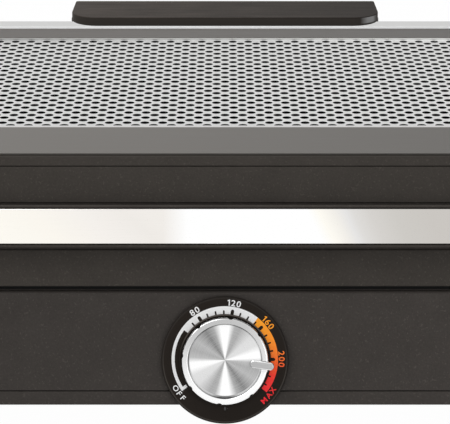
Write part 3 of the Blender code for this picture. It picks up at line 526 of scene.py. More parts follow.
# Base: leaning wall, pan with its vents, legs and feet
base = {
    "lipWidth": 0.009,
    "lipRebate": 0.008,
    "lipThick": 0.0043,
    "upstand": (0.0043, 0.0051),  # inner wall that closes the parting gap
    "upstandTop": 0.0766,
    "deckSheet": 0.0012,
    "shaftHole": 0.0045,
    "dialDown": 0.1100,
    "traySlotHalf": 0.0958,
    "traySlot": (0.0227, 0.0383),
    "traySlotDeep": 0.0122,
    "glandHole": 0.0078,
    "glandAcross": 0.190,
    "glandUp": 0.020,
    "ventLength": 0.060,
    "ventWidth": 0.004,
    "ventPitch": 0.011,
    "ventAcross": 0.150,
    "ventCount": 7,
    "screwAcross": 0.23497,
    "screwAlong": 0.13801,
    "screwHole": 0.0021,
    "legAcross": 0.20497,
    "legRadius": 0.0140,
    "legFoot": 0.0122,
    "padRadius": 0.0110,
    "padHeight": 0.0042,
    "padHollow": 0.0004,
    "soft": 0.0008,  # rounding of legs and pads
}
corners = [
    ("FrontLeft", "front_left", -1, -1),
    ("FrontRight", "front_right", 1, -1),
    ("RearLeft", "rear_left", -1, 1),
    ("RearRight", "rear_right", 1, 1),
]
dialPlace = frontWall @ at(0, -base["dialDown"])
rearFoot = casing["topRear"] + (casing["wallTop"] - levels["baseFoot"]) * tan(casing["rearLean"])
rearWall = bodyPlace @ at(0, rearFoot, levels["baseFoot"]) @ turnedBy(pi)
glandPlace = rearWall @ turnedBy(pi / 2 - casing["rearLean"], "X") @ at(base["glandAcross"], base["glandUp"])
basePlastic = mouldedPlastic(
    "charcoalBase", srgb(60, 56, 53), lean=0.55,  # painted shade: the upstand behind the parting gap is painted dark; painted light makes the tone grow to the right
    paintedLightMask=lambda finish: (finish.z.above(levels["baseTop"] + 0.0005, 0.0004), grey(20)),
)


def makeBaseCasing():
    edge, wall, low, top = casing["edge"], casing["wall"], levels["baseFoot"], levels["baseTop"]
    lip, lipFoot = base["lipWidth"], top - base["lipThick"]
    inner, rebate = lip + base["lipRebate"], top - base["deckSheet"] - fit
    (out, back), high = base["upstand"], base["upstandTop"]
    loops = foot(wallLoop, low, edge / 3, 2) + crown(wallLoop, top, edge)
    loops += [wallLoop(top, out), wallLoop(top, out, high), wallLoop(top, back, high), wallLoop(top, back)]
    loops += [wallLoop(top, lip), wallLoop(top, lip, rebate), wallLoop(top, inner, rebate)]
    loops += [wallLoop(top, inner, lipFoot), wallLoop(lipFoot, wall), wallLoop(low, wall)]
    half, (slotLow, slotHigh) = base["traySlotHalf"], base["traySlot"]
    trayCut = block((-half, rearFoot - base["traySlotDeep"], slotLow), (half, rearFoot + over, slotHigh))
    makePiece(
        "baseCasing", loft(loops, ring=True), basePlastic, "base", "base_shell",
        cuts=[
            (trayCut, bodyPlace),
            (rod(base["shaftHole"], -wall - over, over), dialPlace),
            (rod(base["glandHole"], -wall - over, over), glandPlace),
        ],
    )


def makeBasePan():
    wall, legTop, panFloor = casing["wall"], levels["legTop"], levels["panFloor"]
    loops = foot(wallLoop, legTop, casing["edge"]) + crown(wallLoop, levels["panTop"], casing["edge"] / 3, 2)
    loops += [wallLoop(levels["panTop"], wall), wallLoop(panFloor, wall)]
    low, high = legTop - over, panFloor + over
    wide = base["ventWidth"] / 2
    vent = outline(base["ventLength"] / 2, -wide, wide, wide * 0.999)
    cuts = []
    for side in (-1, 1):
        for index in range(base["ventCount"]):
            y = (index - (base["ventCount"] - 1) / 2) * base["ventPitch"]
            cuts.append((loft([vent(low), vent(high)]), at(side * base["ventAcross"], y)))
    for corner, node, x, y in corners:
        hole = rod(base["screwHole"], low, high, 24)
        cuts.append((hole, at(x * base["screwAcross"], y * base["screwAlong"])))
    makePiece(
        "basePan", loft(loops), basePlastic, "base", "base_pan",
        cuts=[(gather(cuts), bodyPlace)],
    )


def makeFeet():
    soft = base["soft"]
    for corner, node, x, y in corners:
        place = bodyPlace @ at(x * base["legAcross"], y * base["screwAlong"])
        low, r = base["padHeight"] + fit, base["legFoot"]
        top, wide = levels["legTop"] - fit, base["legRadius"]
        leg = turned(((0, low), (r - soft, low), (r, low + soft), (wide, top), (0, top)), 56)
        makePiece("leg" + corner, leg, charcoal, "base", "leg_" + node, place)
        r, top, hollow = base["padRadius"], base["padHeight"], base["padHollow"]
        profile = [(0, hollow), (r * 0.62, hollow), (r * 0.66, 0), (r - soft, 0), (r, soft)]
        profile += [(r, top - soft), (r - soft / 2, top), (0, top)]
        pad = turned(profile, 56)
        makePiece("footPad" + corner, pad, rubber, "base", "foot_pad_" + node, place)


makeBaseCasing()
makeBasePan()
makeFeet()
print("base made")

# Screws with a cross recess
screw = {
    "head": 0.0034,
    "headHeight": 0.0018,
    "shank": 0.0017,
    "crossLong": 0.0044,
    "crossWide": 0.0009,
    "crossDeep": 0.0009,
    "baseLength": 0.0075,
    "retainerLength": 0.0030,
    "retainerAcross": 0.1035,
    "retainerAlong": 0.10775,
    "retainerThick": 0.0030,
}


def makeScrew(name, node, seat, length, body, place):
    r, head, shank = screw["head"], screw["headHeight"], screw["shank"]
    profile = [(0, seat - head)]
    profile += [(r * a, seat - head * b) for a, b in ((0.45, 0.98), (0.75, 0.85), (0.93, 0.6), (1, 0.3))]
    profile += [(r, seat), (shank, seat), (shank, seat + length), (0, seat + length)]
    long, wide, deep = screw["crossLong"] / 2, screw["crossWide"] / 2, screw["crossDeep"]
    low, high = seat - head - deep, seat - head + deep
    cross = [(block((-a, -b, low), (a, b, high)), place) for a, b in ((long, wide), (wide, long))]
    makePiece(name, turned(profile, 32), zinc, body, node, place, cuts=cross)


def makeScrews():
    seat = levels["legTop"] - fit
    clamp = levels["meshFoot"] - fit - screw["retainerThick"] - fit
    for corner, node, x, y in corners:
        place = bodyPlace @ at(x * base["screwAcross"], y * base["screwAlong"])
        makeScrew("baseScrew" + corner, "base_screw_" + node, seat, screw["baseLength"], "base", place)
        place = bodyPlace @ at(x * screw["retainerAcross"], y * screw["retainerAlong"])
        name = "retainerScrew" + corner
        makeScrew(name, "retainer_screw_" + node, clamp, screw["retainerLength"], "hood", place)


makeScrews()
print("screws made")

# Hood: leaning wall with the handle's seat, top rim, steel top and ledge
hood = {
    "flange": 0.0045,
    "handleDown": 0.02702,
    "handleHeight": 0.02278,
    "handleHalf": 0.218,
    "handleRadius": 0.0040,
    "handleMargin": 0.0011,
    "handleRecess": 0.0008,
    "handleFlare": 0.0004,  # the seat widens at its edge
    "handleMouth": 0.0006,
    "rimWidth": 0.018,
    "rimRear": 0.12815,
    "rimCorner": 0.0113,
    "windowHalf": 0.207,
    "windowAlong": 0.10225,
    "windowFront": 0.10208,
    "windowRadius": 0.010,
    "frameSide": 0.0386,
    "frameFront": 0.0390,
    "frameRear": 0.0370,
    "frameRadius": 0.0226,
    "frameRearRadius": 0.004,
    "frameSheet": 0.0008,
    "frameRoll": 0.0005,
    "frameEdge": 0.00015,
    "frameUnder": 0.0006,
    "liningThick": 0.0004,
    "liningDrops": (0.0005, 0.0003),  # its edge, below the frame's top
    "liningShine": 0.1440,  # the lining's painted highlight stops above this height
    "ledgeDepth": 0.0192,
    "ledgeHeight": 0.0012,
    "ledgeCorner": 0.001,
    "ledgeEdge": 0.0006,
    "beadDepth": 0.0025,  # rolled bead along the ledge's front
    "beadRise": 0.0007,
    "beadCorner": 0.0004,
    "beadRoll": 0.0007,
    "beadShine": 0.1401,  # the bead has a painted highlight in front of this line
}
# painted shade: the hood's inner walls in a much darker tone
insidePaintedShade = mouldedPlastic("charcoalInside", srgb(24, 22, 21))
rimPlastic = mouldedPlastic(
    "charcoalRim", srgb(60, 56, 52),  # painted shade on the narrow top face beside the steel
    paintedLightMask=lambda finish: (finish.z.above(levels["rimTop"] - 0.0003, 0.0003), srgb(52, 48, 44)),
)
# painted light: darker to the right; painted shade, a little warm, towards the rear
bandSteel = brushedSteel("satinSteel", srgb(100, 97, 93), 0.5, 0.5, lean=-1.0, rear=(0.40, 0.36, 0.33, 1))
liningSteel = brushedSteel(
    "liningSteel", srgb(198, 198, 196), 0.6, 0.6, lean=1.8,  # painted highlight at the lining's foot; painted light grows to the right
    bright=lambda finish: (1 - finish.z.above(hood["liningShine"], 0.0006)) * 0.4,
)
ledgeSteel = brushedSteel(
    "ledgeSteel", srgb(199, 199, 198), 0.42, 0.75,  # painted highlight on the bead's upright front
    bright=lambda finish: 1 - finish.y.above(hood["beadShine"], 0.0003),
)


def makeHoodCasing():
    edge, wall, flange = casing["edge"], casing["wall"], hood["flange"]
    low, top = levels["hoodFoot"], levels["hoodTop"]
    loops = foot(wallLoop, low, edge) + crown(wallLoop, top, edge / 3, 2)
    loops += [wallLoop(top, flange), wallLoop(top - wall, flange)]
    loops += [wallLoop(top - wall, wall), wallLoop(low, wall)]
    margin, high = hood["handleMargin"], -hood["handleDown"]
    low = high - hood["handleHeight"] - margin
    radius = hood["handleRadius"] + margin
    seat = outline(hood["handleHalf"] + margin, low, high + margin, radius, shrink=1)
    depths = ((0, -hood["handleRecess"]), (hood["handleFlare"], 0), (hood["handleMouth"], over))
    seat = loft([seat(depth, -grow) for grow, depth in depths])
    shell = makePiece(
        "hoodCasing", loft(loops, ring=True), charcoal, "hood", "hood_shell",
        cuts=[(seat, frontWall)],
    )
    shell.data.materials.append(insidePaintedShade)
    slope = tan(casing["frontLean"])
    for face in shell.data.polygons:  # the walls' inner faces, which look towards the middle, take the painted shade
        x, y, z = face.center
        inward = face.normal.x * x + face.normal.y * y < 0
        depth = y + casing["topFront"] + (casing["wallTop"] - z) * slope
        if inward and abs(face.normal.z) < 0.7 and depth > wall * 0.9:
            face.material_index = 1


def makeTopRim():
    edge, low, top = casing["edge"], levels["rimFoot"], levels["rimTop"]
    front = hood["rimWidth"] - casing["topFront"]
    inner = outline(casing["topHalf"] - hood["rimWidth"], front, hood["rimRear"], hood["rimCorner"])
    loops = foot(wallLoop, low, edge / 3, 2) + crown(wallLoop, top, edge * 0.35) + [inner(top), inner(low)]
    makePiece("topRim", loft(loops, ring=True), rimPlastic, "hood", "hood_rim")


def makeSteelTop():
    top, roll, sheet = levels["frameTop"], hood["frameRoll"], hood["frameSheet"]
    edge, mesh, along, half = casing["wallTop"], levels["meshTop"], hood["windowAlong"], hood["windowHalf"]
    front, rear = -(along + hood["frameFront"]), along + hood["frameRear"]
    frame = outline(half + hood["frameSide"], front, rear, hood["frameRearRadius"], hood["frameRadius"])
    window = outline(half, -hood["windowFront"], along, hood["windowRadius"], shrink=1)
    loops = crown(frame, edge, hood["frameEdge"], 2)
    loops += [window(top - rest, -grow) for grow, rest in quarter(roll, 5, True)]
    loops += [window(mesh + fit), window(mesh + fit, -sheet)]
    loops += [window(top - sheet - hood["frameUnder"], -(roll + sheet)), frame(edge - sheet)]
    makePiece("steelTop", loft(loops, ring=True), bandSteel, "hood", "hood_frame")
    thick, (outer, inner) = hood["liningThick"], hood["liningDrops"]
    loops = [window(mesh, thick), window(top - outer, thick), window(top - inner), window(mesh)]
    makePiece("windowLining", loft(loops, ring=True), liningSteel, "hood", None)


def makeRearLedge():
    front = hood["windowAlong"] + hood["frameRear"] + fit
    rear, half = front + hood["ledgeDepth"], hood["windowHalf"] + hood["frameSide"]
    low, near, edge = levels["rimTop"] + fit, hood["ledgeCorner"], hood["ledgeEdge"]
    high, far = low + hood["ledgeHeight"], hood["ledgeDepth"] - hood["beadDepth"] - near

    def slab(z, inset=0.0):
        return roundedLoop(half - inset, front + inset, rear - inset, z, far - inset, near - inset / 2)

    wide = hood["beadDepth"] / 2
    middle = front + fit / 2 + wide
    bead = outline(half - near - wide * 2, middle - wide, middle + wide, hood["beadCorner"])
    bead = loft([bead(low + edge)] + crown(bead, high + hood["beadRise"], hood["beadRoll"], 5))
    makePiece(
        "rearLedge", loft([slab(low)] + crown(slab, high, edge, 3)), ledgeSteel,
        "hood", "rear_ledge", cuts=[(bead, bodyPlace, "UNION")],
    )


makeHoodCasing()
makeTopRim()
makeSteelTop()
makeRearLedge()
print("hood made")

# Perforated sheet: round holes in staggered rows, and the plain strip along its front
sheetLook = {
    "pitch": 0.010,
    "rowPitch": 0.005166,
    "firstRow": 0.09914,  # rearmost row, from the middle of the window
    "rows": 38,
    "holesEachSide": 20,
    "hole": 0.00254,
    "sides": 12,
    "half": 0.2147,
    "along": 0.10995,
    "corner": 0.010,
    "thick": 0.0008,
    "stripRear": -0.0929,
    "stripFront": -0.1014,
    "stripHeight": 0.0002,
    "stripAside": 0.004,  # how far its ends stay within the window
    "stripCorner": 0.0008,
    "stripEdge": 0.00015,
    "shineRear": 0.0940,  # middle of the rear rows, which get a painted highlight by degrees
    "shineSoft": 0.013,
}
paleSteel = brushedSteel(
    "paleSteel", srgb(204, 204, 203), 0.32,  # painted highlight on the last rows, close to the lining
    bright=lambda finish: finish.y.above(sheetLook["shineRear"], sheetLook["shineSoft"]) * 0.4,
)
stripSteel = brushedSteel("stripSteel", srgb(200, 199, 198), 0.4)
# painted shade: the hole walls in near black
holeEdge = sheetMetal("holeEdge", srgb(10, 9, 8), 0.6)


def makeSheet():  # a net of diamonds, each with its hole, and the net's rim
    look = sheetLook
    shape = bmesh.new()
    known = {}
    halfPitch, row = look["pitch"] / 2, look["rowPitch"]
    sides, radius, each = look["sides"], look["hole"], look["holesEachSide"]
    tips = ((halfPitch, 0), (0, row), (-halfPitch, 0), (0, -row))

    def corner(x, y):
        key = (round(x * 1e6), round(y * 1e6))
        if key not in known:
            known[key] = shape.verts.new((x, y, 0))
        return known[key]

    for rowIndex in range(look["rows"]):
        y = look["firstRow"] - row * rowIndex
        offset = 0 if rowIndex % 2 else halfPitch
        for index in range(-each, each + rowIndex % 2):  # every other row has one hole more
            x = index * look["pitch"] + offset
            outer, inner = [], []
            for side in range(sides):
                tip, step = divmod(side, sides // 4)
                share = step / (sides // 4)
                (ax, ay), (bx, by) = tips[tip], tips[(tip + 1) % 4]
                outer.append(corner(x + ax + (bx - ax) * share, y + ay + (by - ay) * share))
                turn = 2 * pi * side / sides
                inner.append(shape.verts.new((x + radius * cos(turn), y + radius * sin(turn), 0)))
            for a, b, c, d in zip(inner, outer, outer[1:] + outer[:1], inner[1:] + inner[:1]):
                shape.faces.new((a, b, c, d))
    net = set(known.values())
    return shape, [edge for edge in shape.edges if len(edge.link_faces) == 1 and edge.verts[0] in net]


def perforatedSheet():
    look = sheetLook
    shape, rim = makeSheet()
    border = roundedLoop(look["half"], -look["along"], look["along"], 0, look["corner"])
    points = [shape.verts.new(point) for point in border]
    rim += [shape.edges.new(pair) for pair in zip(points, points[1:] + points[:1])]
    bmesh.ops.triangle_fill(shape, use_beauty=True, edges=rim)
    bmesh.ops.recalc_face_normals(shape, faces=shape.faces)
    if sum(face.normal.z for face in shape.faces) < 0:
        bmesh.ops.reverse_faces(shape, faces=shape.faces)
    obj = newObject("perforatedSheet", shape, bodyPlace @ at(0, 0, levels["meshTop"]))
    thick = obj.modifiers.new("thickness", "SOLIDIFY")
    thick.thickness = look["thick"]
    thick.offset = -1
    # the hole walls take the second finish, painted near black as shade
    thick.material_offset_rim = 1
    obj.data.materials.append(paleSteel)
    obj.data.materials.append(holeEdge)
    freeze(obj)
    smooth(obj.data)
    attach(obj, "hood")
    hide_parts("hood_mesh")

    half, mesh = hood["windowHalf"] - look["stripAside"], levels["meshTop"]
    strip = outline(half, look["stripFront"], look["stripRear"], look["stripCorner"])
    strip = loft([strip(mesh)] + crown(strip, mesh + look["stripHeight"], look["stripEdge"], 3))
    makePiece("frontStrip", strip, stripSteel, "hood", None)


perforatedSheet()
print("perforated sheet made")

# Handle: plastic bezel round a polished band
handle = {
    "stand": 0.0085,
    "edge": 0.0009,
    "rim": 0.0014,
    "bandDepth": 0.0012,
    "bandGap": 0.0007,
    "bandEdge": 0.0005,
    "bandProud": 0.0002,
    "leastRadius": 0.0008,
}


def polishedSteel():
    finish = Finish("polishedSteel", 0.12, 1.0)
    x, up = finish.x, finish.y + (hood["handleDown"] + hood["handleHeight"] / 2)
    cloud = finish.noise(30, 3, (1, 0.4, 1)) * 0.006 - 0.003
    grain = finish.noise(1400, 2, (0.02, 1, 1))
    # painted reflections: near white on the left, fading to grey on the right
    stops = [(0.00, 248, 245, 240), (0.22, 254, 251, 243), (0.285, 252, 248, 240)]
    stops += [(0.345, 246, 242, 237), (0.395, 240, 236, 231), (0.42, 242, 238, 233)]
    left = finish.ramp((x + up * 1.1 + cloud + 0.22) / 0.44, stops)
    stops = [(0.10, 255, 255, 255), (0.165, 254, 251, 243), (0.24, 242, 239, 233), (0.31, 229, 228, 227)]
    stops += [(0.35, 222, 220, 217), (0.45, 213, 210, 206), (0.60, 205, 202, 197), (0.80, 202, 198, 193)]
    right = finish.ramp((x + up * 0.48 + cloud - 0.04) / 0.09, stops)
    clear = x.above(-0.0265, 0.0128)
    tone = finish.mix(clear, left, right)
    tone = finish.mix(grain * (1 - clear) * 0.04, tone, grey(150))
    return finish.done(tone, grain * 0.06 + 0.08, grain, 0.000004, 0.4)


def makeHandle():
    half, top = hood["handleHalf"], -hood["handleDown"]
    low = top - hood["handleHeight"]
    stand, rim, edge = handle["stand"], handle["rim"], handle["edge"]

    def section(z, inset=0.0):
        radius = max(hood["handleRadius"] - inset, handle["leastRadius"])
        return roundedLoop(half - inset, low + inset, top - inset, z, radius)

    pocket = stand - handle["bandDepth"] - fit
    loops = [section(fit - hood["handleRecess"])] + crown(section, stand, edge)
    loops += [section(stand - rest, rim - inset) for inset, rest in quarter(edge / 3, 2, True)]
    bezel = loft(loops + [section(pocket, rim)])
    makePiece("handleBezel", bezel, charcoal, "hood", "handle_bezel", frontWall)

    start, lift = rim + handle["bandGap"], pocket + fit
    high = lift + handle["bandDepth"] + handle["bandProud"]
    loops = [section(lift, start)]
    loops += [section(high - rest, start + inset) for inset, rest in quarter(handle["bandEdge"])]
    band = loft(loops)
    makePiece("handleBand", band, polishedSteel(), "hood", "handle_band", frontWall)


makeHandle()
print("handle made")

# Hinge cover: a slab that laps over the rear band, with the shroud behind it
cover = {
    "half": 0.1023,
    "front": 0.13185,
    "rear": 0.18055,
    "foot": 0.1457,
    "top": 0.1514,
    "frontRadius": 0.0187,
    "rearRadius": 0.0016,
    "edge": 0.0005,
    "shroudHalf": 0.1008,
    "taper": 0.0011,  # how much narrower each side is at the rear
    "shroudFront": 0.17101,
    "shroudFoot": 0.0950,
    "skirtHalf": 0.1024,  # lower step under the slab, behind its rounded corners
    "skirtFront": 0.1508,
    "skirtFoot": 0.1442,
    "skirtEdge": 0.0002,
    "shroudEdge": 0.0005,
    "shroudCorner": 0.0025,
    "sideTop": 0.1509,  # the slab's side ends here, then its edge turns over; the side below is painted lighter
    "sheenFoot": 0.1470,  # painted sheen round the right front corner
    "sheenRear": 0.1500,
    "sheenFrom": 0.0918,
    "sheenTo": 0.0992,
}


# painted light: the slab's side lighter than its top, with a painted sheen at the right front corner
def slabPaintedLight(finish):
    x, y, z = finish.x, finish.y, finish.z
    band = x.above(cover["sheenFrom"], 0.005) * (1 - x.above(cover["sheenTo"], 0.0025))
    paintedSheen = band * z.above(cover["sheenFoot"], 0.0008) * (1 - y.above(cover["sheenRear"], 0.002)) * 0.8
    return 1 - z.above(cover["sideTop"], 0.0002), finish.mix(paintedSheen, srgb(64, 60, 56), grey(178))


# painted light also makes the slab darker towards the right
coverPlastic = mouldedPlastic("charcoalCover", srgb(54, 49, 45), 0.55, 0.03, -3.5, 1.1, slabPaintedLight)


def makeCover():
    half, front, rear, edge = (cover[key] for key in ("half", "front", "rear", "edge"))
    plain = outline(half, front, rear, cover["rearRadius"], cover["frontRadius"], shrink=1)

    def slab(z, inset=0.0):
        points = plain(z, inset)
        for point in points:
            point.x *= 1 - cover["taper"] / half * ((point.y - front) / (rear - front))
        return points

    loops = foot(slab, cover["foot"], edge) + crown(slab, cover["top"], edge)
    back, high, small = rear - edge, cover["foot"] + edge, cover["shroudEdge"]
    shroud = outline(cover["shroudHalf"], cover["shroudFront"], back, cover["shroudCorner"])
    shroud = foot(shroud, cover["shroudFoot"], small, 3) + [shroud(high)]
    step, low = cover["skirtEdge"], cover["skirtFoot"]
    skirt = [
        roundedLoop(cover["skirtHalf"] - inset, cover["skirtFront"] + inset, back - small, z, small)
        for inset, z in ((step, low), (0, low + step), (0, high))
    ]
    piece = makePiece(
        "hingeCover", loft(loops), coverPlastic, "hood", "hinge_cover",
        cuts=[(loft(shroud), bodyPlace, "UNION"), (loft(skirt), bodyPlace, "UNION")],
    )
    piece.visible_shadow = False  # the ledge stays as bright below the slab as beside it
    piece.visible_diffuse = False
    piece.visible_glossy = False


makeCover()
print("hinge cover made")

# Heat control: dial plate, collar, knob with its spun face, pointer and lens
dial = {
    "radius": 0.0341,
    "height": 0.0032,
    "edge": 0.0013,
    "lensDown": 0.0258,
    "lensRadius": 0.0012,
    "lensGap": 0.00002,
    "lensRise": 0.0003,
    "collarInner": 0.0236,
    "collarOuter": 0.0246,
    "collarLow": 0.0038,
    "collarTop": 0.0050,
    "collarEdge": 0.0005,
    "knobLow": 0.0041,
    "knobTop": 0.0141,
    "knobRadius": 0.0232,
    "knobTaper": 0.0002,
    "ring": 0.0033,
    "knobRound": 0.0012,
    "recess": 0.0197,
    "recessEdge": 0.0006,
    "seat": 0.0104,
    "hollow": 0.0212,
    "boreTop": 0.0080,
    "hub": 0.0080,
    "bore": 0.0033,
    "notches": 8,
    "notch": 0.0019,
    "notchOut": 0.0010,  # how far the notches' axes lie outside the knob
    "face": 0.0195,
    "glint": 0.0006,  # how far above the axis the face's painted rays meet
    "faceFoot": 0.0107,
    "faceTop": 0.0115,
    "faceEdge": 0.0002,
    "pointerStart": 0.0132,
    "pointerEnd": 0.0262,
    "pointerWidth": 0.0042,
    "pointerAside": -0.0005,
    "pointerGap": 0.0004,
    "pointerEdge": 0.0009,
    "pointerFoot": 0.0121,
    "pointerTop": 0.0147,
    "pointerTurn": radians(97.4),  # clockwise from the top, as the knob rests
    "steps": 120,
}
knobPlace = dialPlace @ turnedBy(-dial["pointerTurn"])


def clockAngle(finish, spin=0.0, rise=0.0):
    # Clockwise turn from the top as a share of a full turn, in the dial's own plane
    x, y = finish.x + rise * sin(spin), finish.y - rise * cos(spin)
    turn = finish.add("Math", {"operation": "ARCTAN2"}, {0: x, 1: y})
    share = turn / (2 * pi) + (1 + spin / (2 * pi))
    return share.math("FRACT", share), (x, y)


def radiusOf(finish, x, y):
    square = x * x + y * y
    return square.math("SQRT", square)


def paintedGrooveShade(finish, share):  # painted shade in the groove round the face: dark at the foot alone
    stops = [(0.00, 175), (0.08, 145), (0.17, 222), (0.25, 185), (0.34, 218), (0.44, 205), (0.48, 84)]
    stops += [(0.52, 84), (0.56, 205), (0.67, 222), (0.75, 132), (0.83, 192), (0.92, 145), (1.00, 175)]
    return finish.ramp(share, stops)


def spunFace():
    finish = Finish("spunAluminium", 0.3, 1.0)
    share, (x, y) = clockAngle(finish, dial["pointerTurn"], dial["glint"])
    radius = radiusOf(finish, x, y)
    twice = share * 2
    half = twice.math("FRACT", twice)
    # painted reflections: bright and dark rays by angle, streaked by the spun rings
    stops = [(0, 255), (7, 255), (17, 172), (26, 165), (48, 220), (65, 224), (76, 255), (86, 255)]
    stops += [(95, 186), (108, 168), (124, 182), (134, 160), (146, 120), (160, 166), (172, 255), (180, 255)]
    tone = finish.ramp(half, [(angle / 180, value) for angle, value in stops])
    fine, wide = (
        finish.add("TexNoise", {"noise_dimensions": "1D"}, {"W": radius, "Scale": scale, "Detail": detail})
        for scale, detail in ((2600, 3), (420, 2))
    )
    streak = fine * 0.85 + wide * 0.15
    level = finish.parts(tone)[0]
    tone = finish.mix(streak.above(0.55, 0.3) * (1.08 - level) * 0.3, tone, grey(236))
    crescentShade = radius.above(dial["recess"] - 0.0007, 0.0003)  # painted shade at the foot of the dished face
    tone = finish.mix(crescentShade * 0.85, tone, paintedGrooveShade(finish, share))
    return finish.done(tone, streak * 0.2 + 0.2, streak, 0.00001, 0.5)


def knobSilver():
    finish = Finish("knobSilver", 0.22, 1.0)
    share, (x, y) = clockAngle(finish, dial["pointerTurn"])
    # painted reflection: the ring lighter and darker by angle
    stops = [(0.00, 194), (0.08, 198), (0.17, 216), (0.25, 232), (0.32, 255), (0.62, 255)]
    stops += [(0.71, 240), (0.80, 212), (0.90, 195), (1.00, 194)]
    tone = finish.ramp(share, stops)
    fine = finish.noise(1500, 2)
    radius = radiusOf(finish, x, y)
    # painted highlight on the outer edge
    rim = radius.above(dial["knobRadius"] - 0.0006, 0.0004)
    tone = finish.mix(rim * 0.8, tone, grey(250))
    # painted shade in the groove round the face
    grooveShade = 1 - radius.above(dial["recess"] + 0.0002, 0.0002)
    tone = finish.mix(grooveShade, tone, paintedGrooveShade(finish, share))
    return finish.done(finish.mix(fine * 0.05, tone, grey(170)), fine * 0.08 + 0.18)


def satinPointer():
    finish = Finish("satinPointer", 0.34, 1.0)
    grain = finish.noise(1600, 2, (1, 0.05, 1))
    # painted highlights along both edges
    edge = (finish.x - dial["pointerAside"]).size().above(dial["pointerWidth"] / 2 - 0.0005, 0.0003)
    tone = finish.mix(edge, finish.mix(grain, grey(176), grey(190)), grey(250))
    return finish.done(tone, grain * 0.1 + 0.28, grain, 0.000005, 0.5)


def dialFinish():
    finish = Finish("dialFace", level=0.06)
    fine = finish.noise(1400, 2)
    radius = radiusOf(finish, finish.x, finish.y)
    # painted light on the rounded rim, with a painted highlight line along it, faint at the top
    bevelPaintedLight = radius.above(dial["radius"] - dial["edge"], 0.0003)
    tone = finish.mix(fine, srgb(35, 30, 26), srgb(38, 33, 29))
    tone = finish.mix(bevelPaintedLight, tone, srgb(39, 35, 32))
    line = bevelPaintedLight * (1 - radius.above(dial["radius"] - 0.0007, 0.0002)) * (1 - finish.y.above(0, 0.02) * 0.85)
    return finish.done(finish.mix(line * 0.7, tone, srgb(72, 68, 63)), fine * 0.1 + 0.45)


def collarFinish():  # painted highlight along its upper edge
    finish = Finish("collar", level=0.06)
    fine, radius = finish.noise(1400, 2), radiusOf(finish, finish.x, finish.y)
    edge = radius.above(dial["collarOuter"] - 0.0006, 0.0003) * finish.y.above(0.010, 0.012)
    tone = finish.mix(fine, srgb(31, 27, 23), srgb(35, 30, 26))
    return finish.done(finish.mix(edge, tone, srgb(84, 78, 73)), fine * 0.1 + 0.45)


def clearLens():
    finish = Finish("lens", 0.35, level=0.05)
    # pale grey in the middle, dark round it
    lensOutskirt = radiusOf(finish, finish.x, finish.y * 0.5).above(0.0005, 0.0003)
    return finish.done(finish.mix(lensOutskirt, grey(84), srgb(38, 33, 29)))


def makeDialPlate():
    low, high = fit, fit + dial["height"]
    r, hole = dial["radius"], base["shaftHole"]
    profile = [(hole, low), (r, low)]
    profile += [(r - inset, high - rest) for inset, rest in quarter(dial["edge"], 5)] + [(hole, high)]
    lensCut = rod(dial["lensRadius"] + dial["lensGap"], -over, high + over, 32)
    lensPlace = dialPlace @ at(0, -dial["lensDown"])
    makePiece(
        "dialPlate", turned(profile, dial["steps"], closed=True), dialFinish(), "base",
        "dial_plate", dialPlace, cuts=[(lensCut, lensPlace)],
    )
    r, rise = dial["lensRadius"], dial["lensRise"]
    dome = [(0, low), (r, low), (r, high), (r * 0.8, high + rise * 0.6)]
    dome += [(r * 0.4, high + rise), (0, high + rise)]
    makePiece("indicatorLens", turned(dome, 32), clearLens(), "base", "indicator_lens", lensPlace)


def makeCollar():
    inner, outer = dial["collarInner"], dial["collarOuter"]
    low, high, edge = dial["collarLow"], dial["collarTop"], dial["collarEdge"]
    profile = [(inner, low), (outer, low)]
    profile += [(outer - inset, high - rest) for inset, rest in quarter(edge, 3)]
    profile += [(inner + edge * 0.4, high), (inner, high - edge * 0.4)]
    makePiece(
        "dialCollar", turned(profile, dial["steps"], closed=True), collarFinish(), "base",
        "dial_collar", dialPlace,
    )


def makeKnob():
    low, high, seat = dial["knobLow"], dial["knobTop"], dial["seat"]
    r, recess, taper = dial["knobRadius"], dial["recess"], dial["knobTaper"]
    hollow, hub, bore, roof = dial["hollow"], dial["hub"], dial["bore"], dial["boreTop"]
    profile = [(0, seat), (recess, seat)]
    profile += [(recess + inset, high - rest) for inset, rest in quarter(dial["recessEdge"], 4)]
    profile += [(r - taper - inset, high - rest) for inset, rest in quarter(dial["knobRound"], 6, True)]
    profile += [(r, low), (hollow, low), (hollow, roof), (hub, roof)]
    profile += [(hub, low), (bore, low), (bore, roof), (0, roof)]
    notches = []
    for index in range(dial["notches"]):
        place = turnedBy(2 * pi * index / dial["notches"]) @ at(r + dial["notchOut"])
        notches.append((rod(dial["notch"], low - over, high + over, 24), place))
    half = dial["pointerWidth"] / 2 + dial["pointerGap"] + abs(dial["pointerAside"])
    slot = block((-half, recess - dial["ring"], dial["faceTop"]), (half, r + over, high + over))
    makePiece(
        "knobBody", turned(profile, dial["steps"]), knobSilver(), "knob", "knob_body",
        knobPlace, cuts=[(gather(notches), knobPlace), (slot, knobPlace)],
    )

    r, top, edge = dial["face"], dial["faceTop"], dial["faceEdge"]
    profile = [(0, dial["faceFoot"]), (r, dial["faceFoot"])]
    profile += [(r - inset, top - rest) for inset, rest in quarter(edge, 3)]
    profile += [(r * 0.66, top), (r * 0.33, top), (edge * 2, top), (0, top - edge)]
    face = turned(profile, dial["steps"])
    makePiece("knobFace", face, spunFace(), "knob", "knob_face", knobPlace)


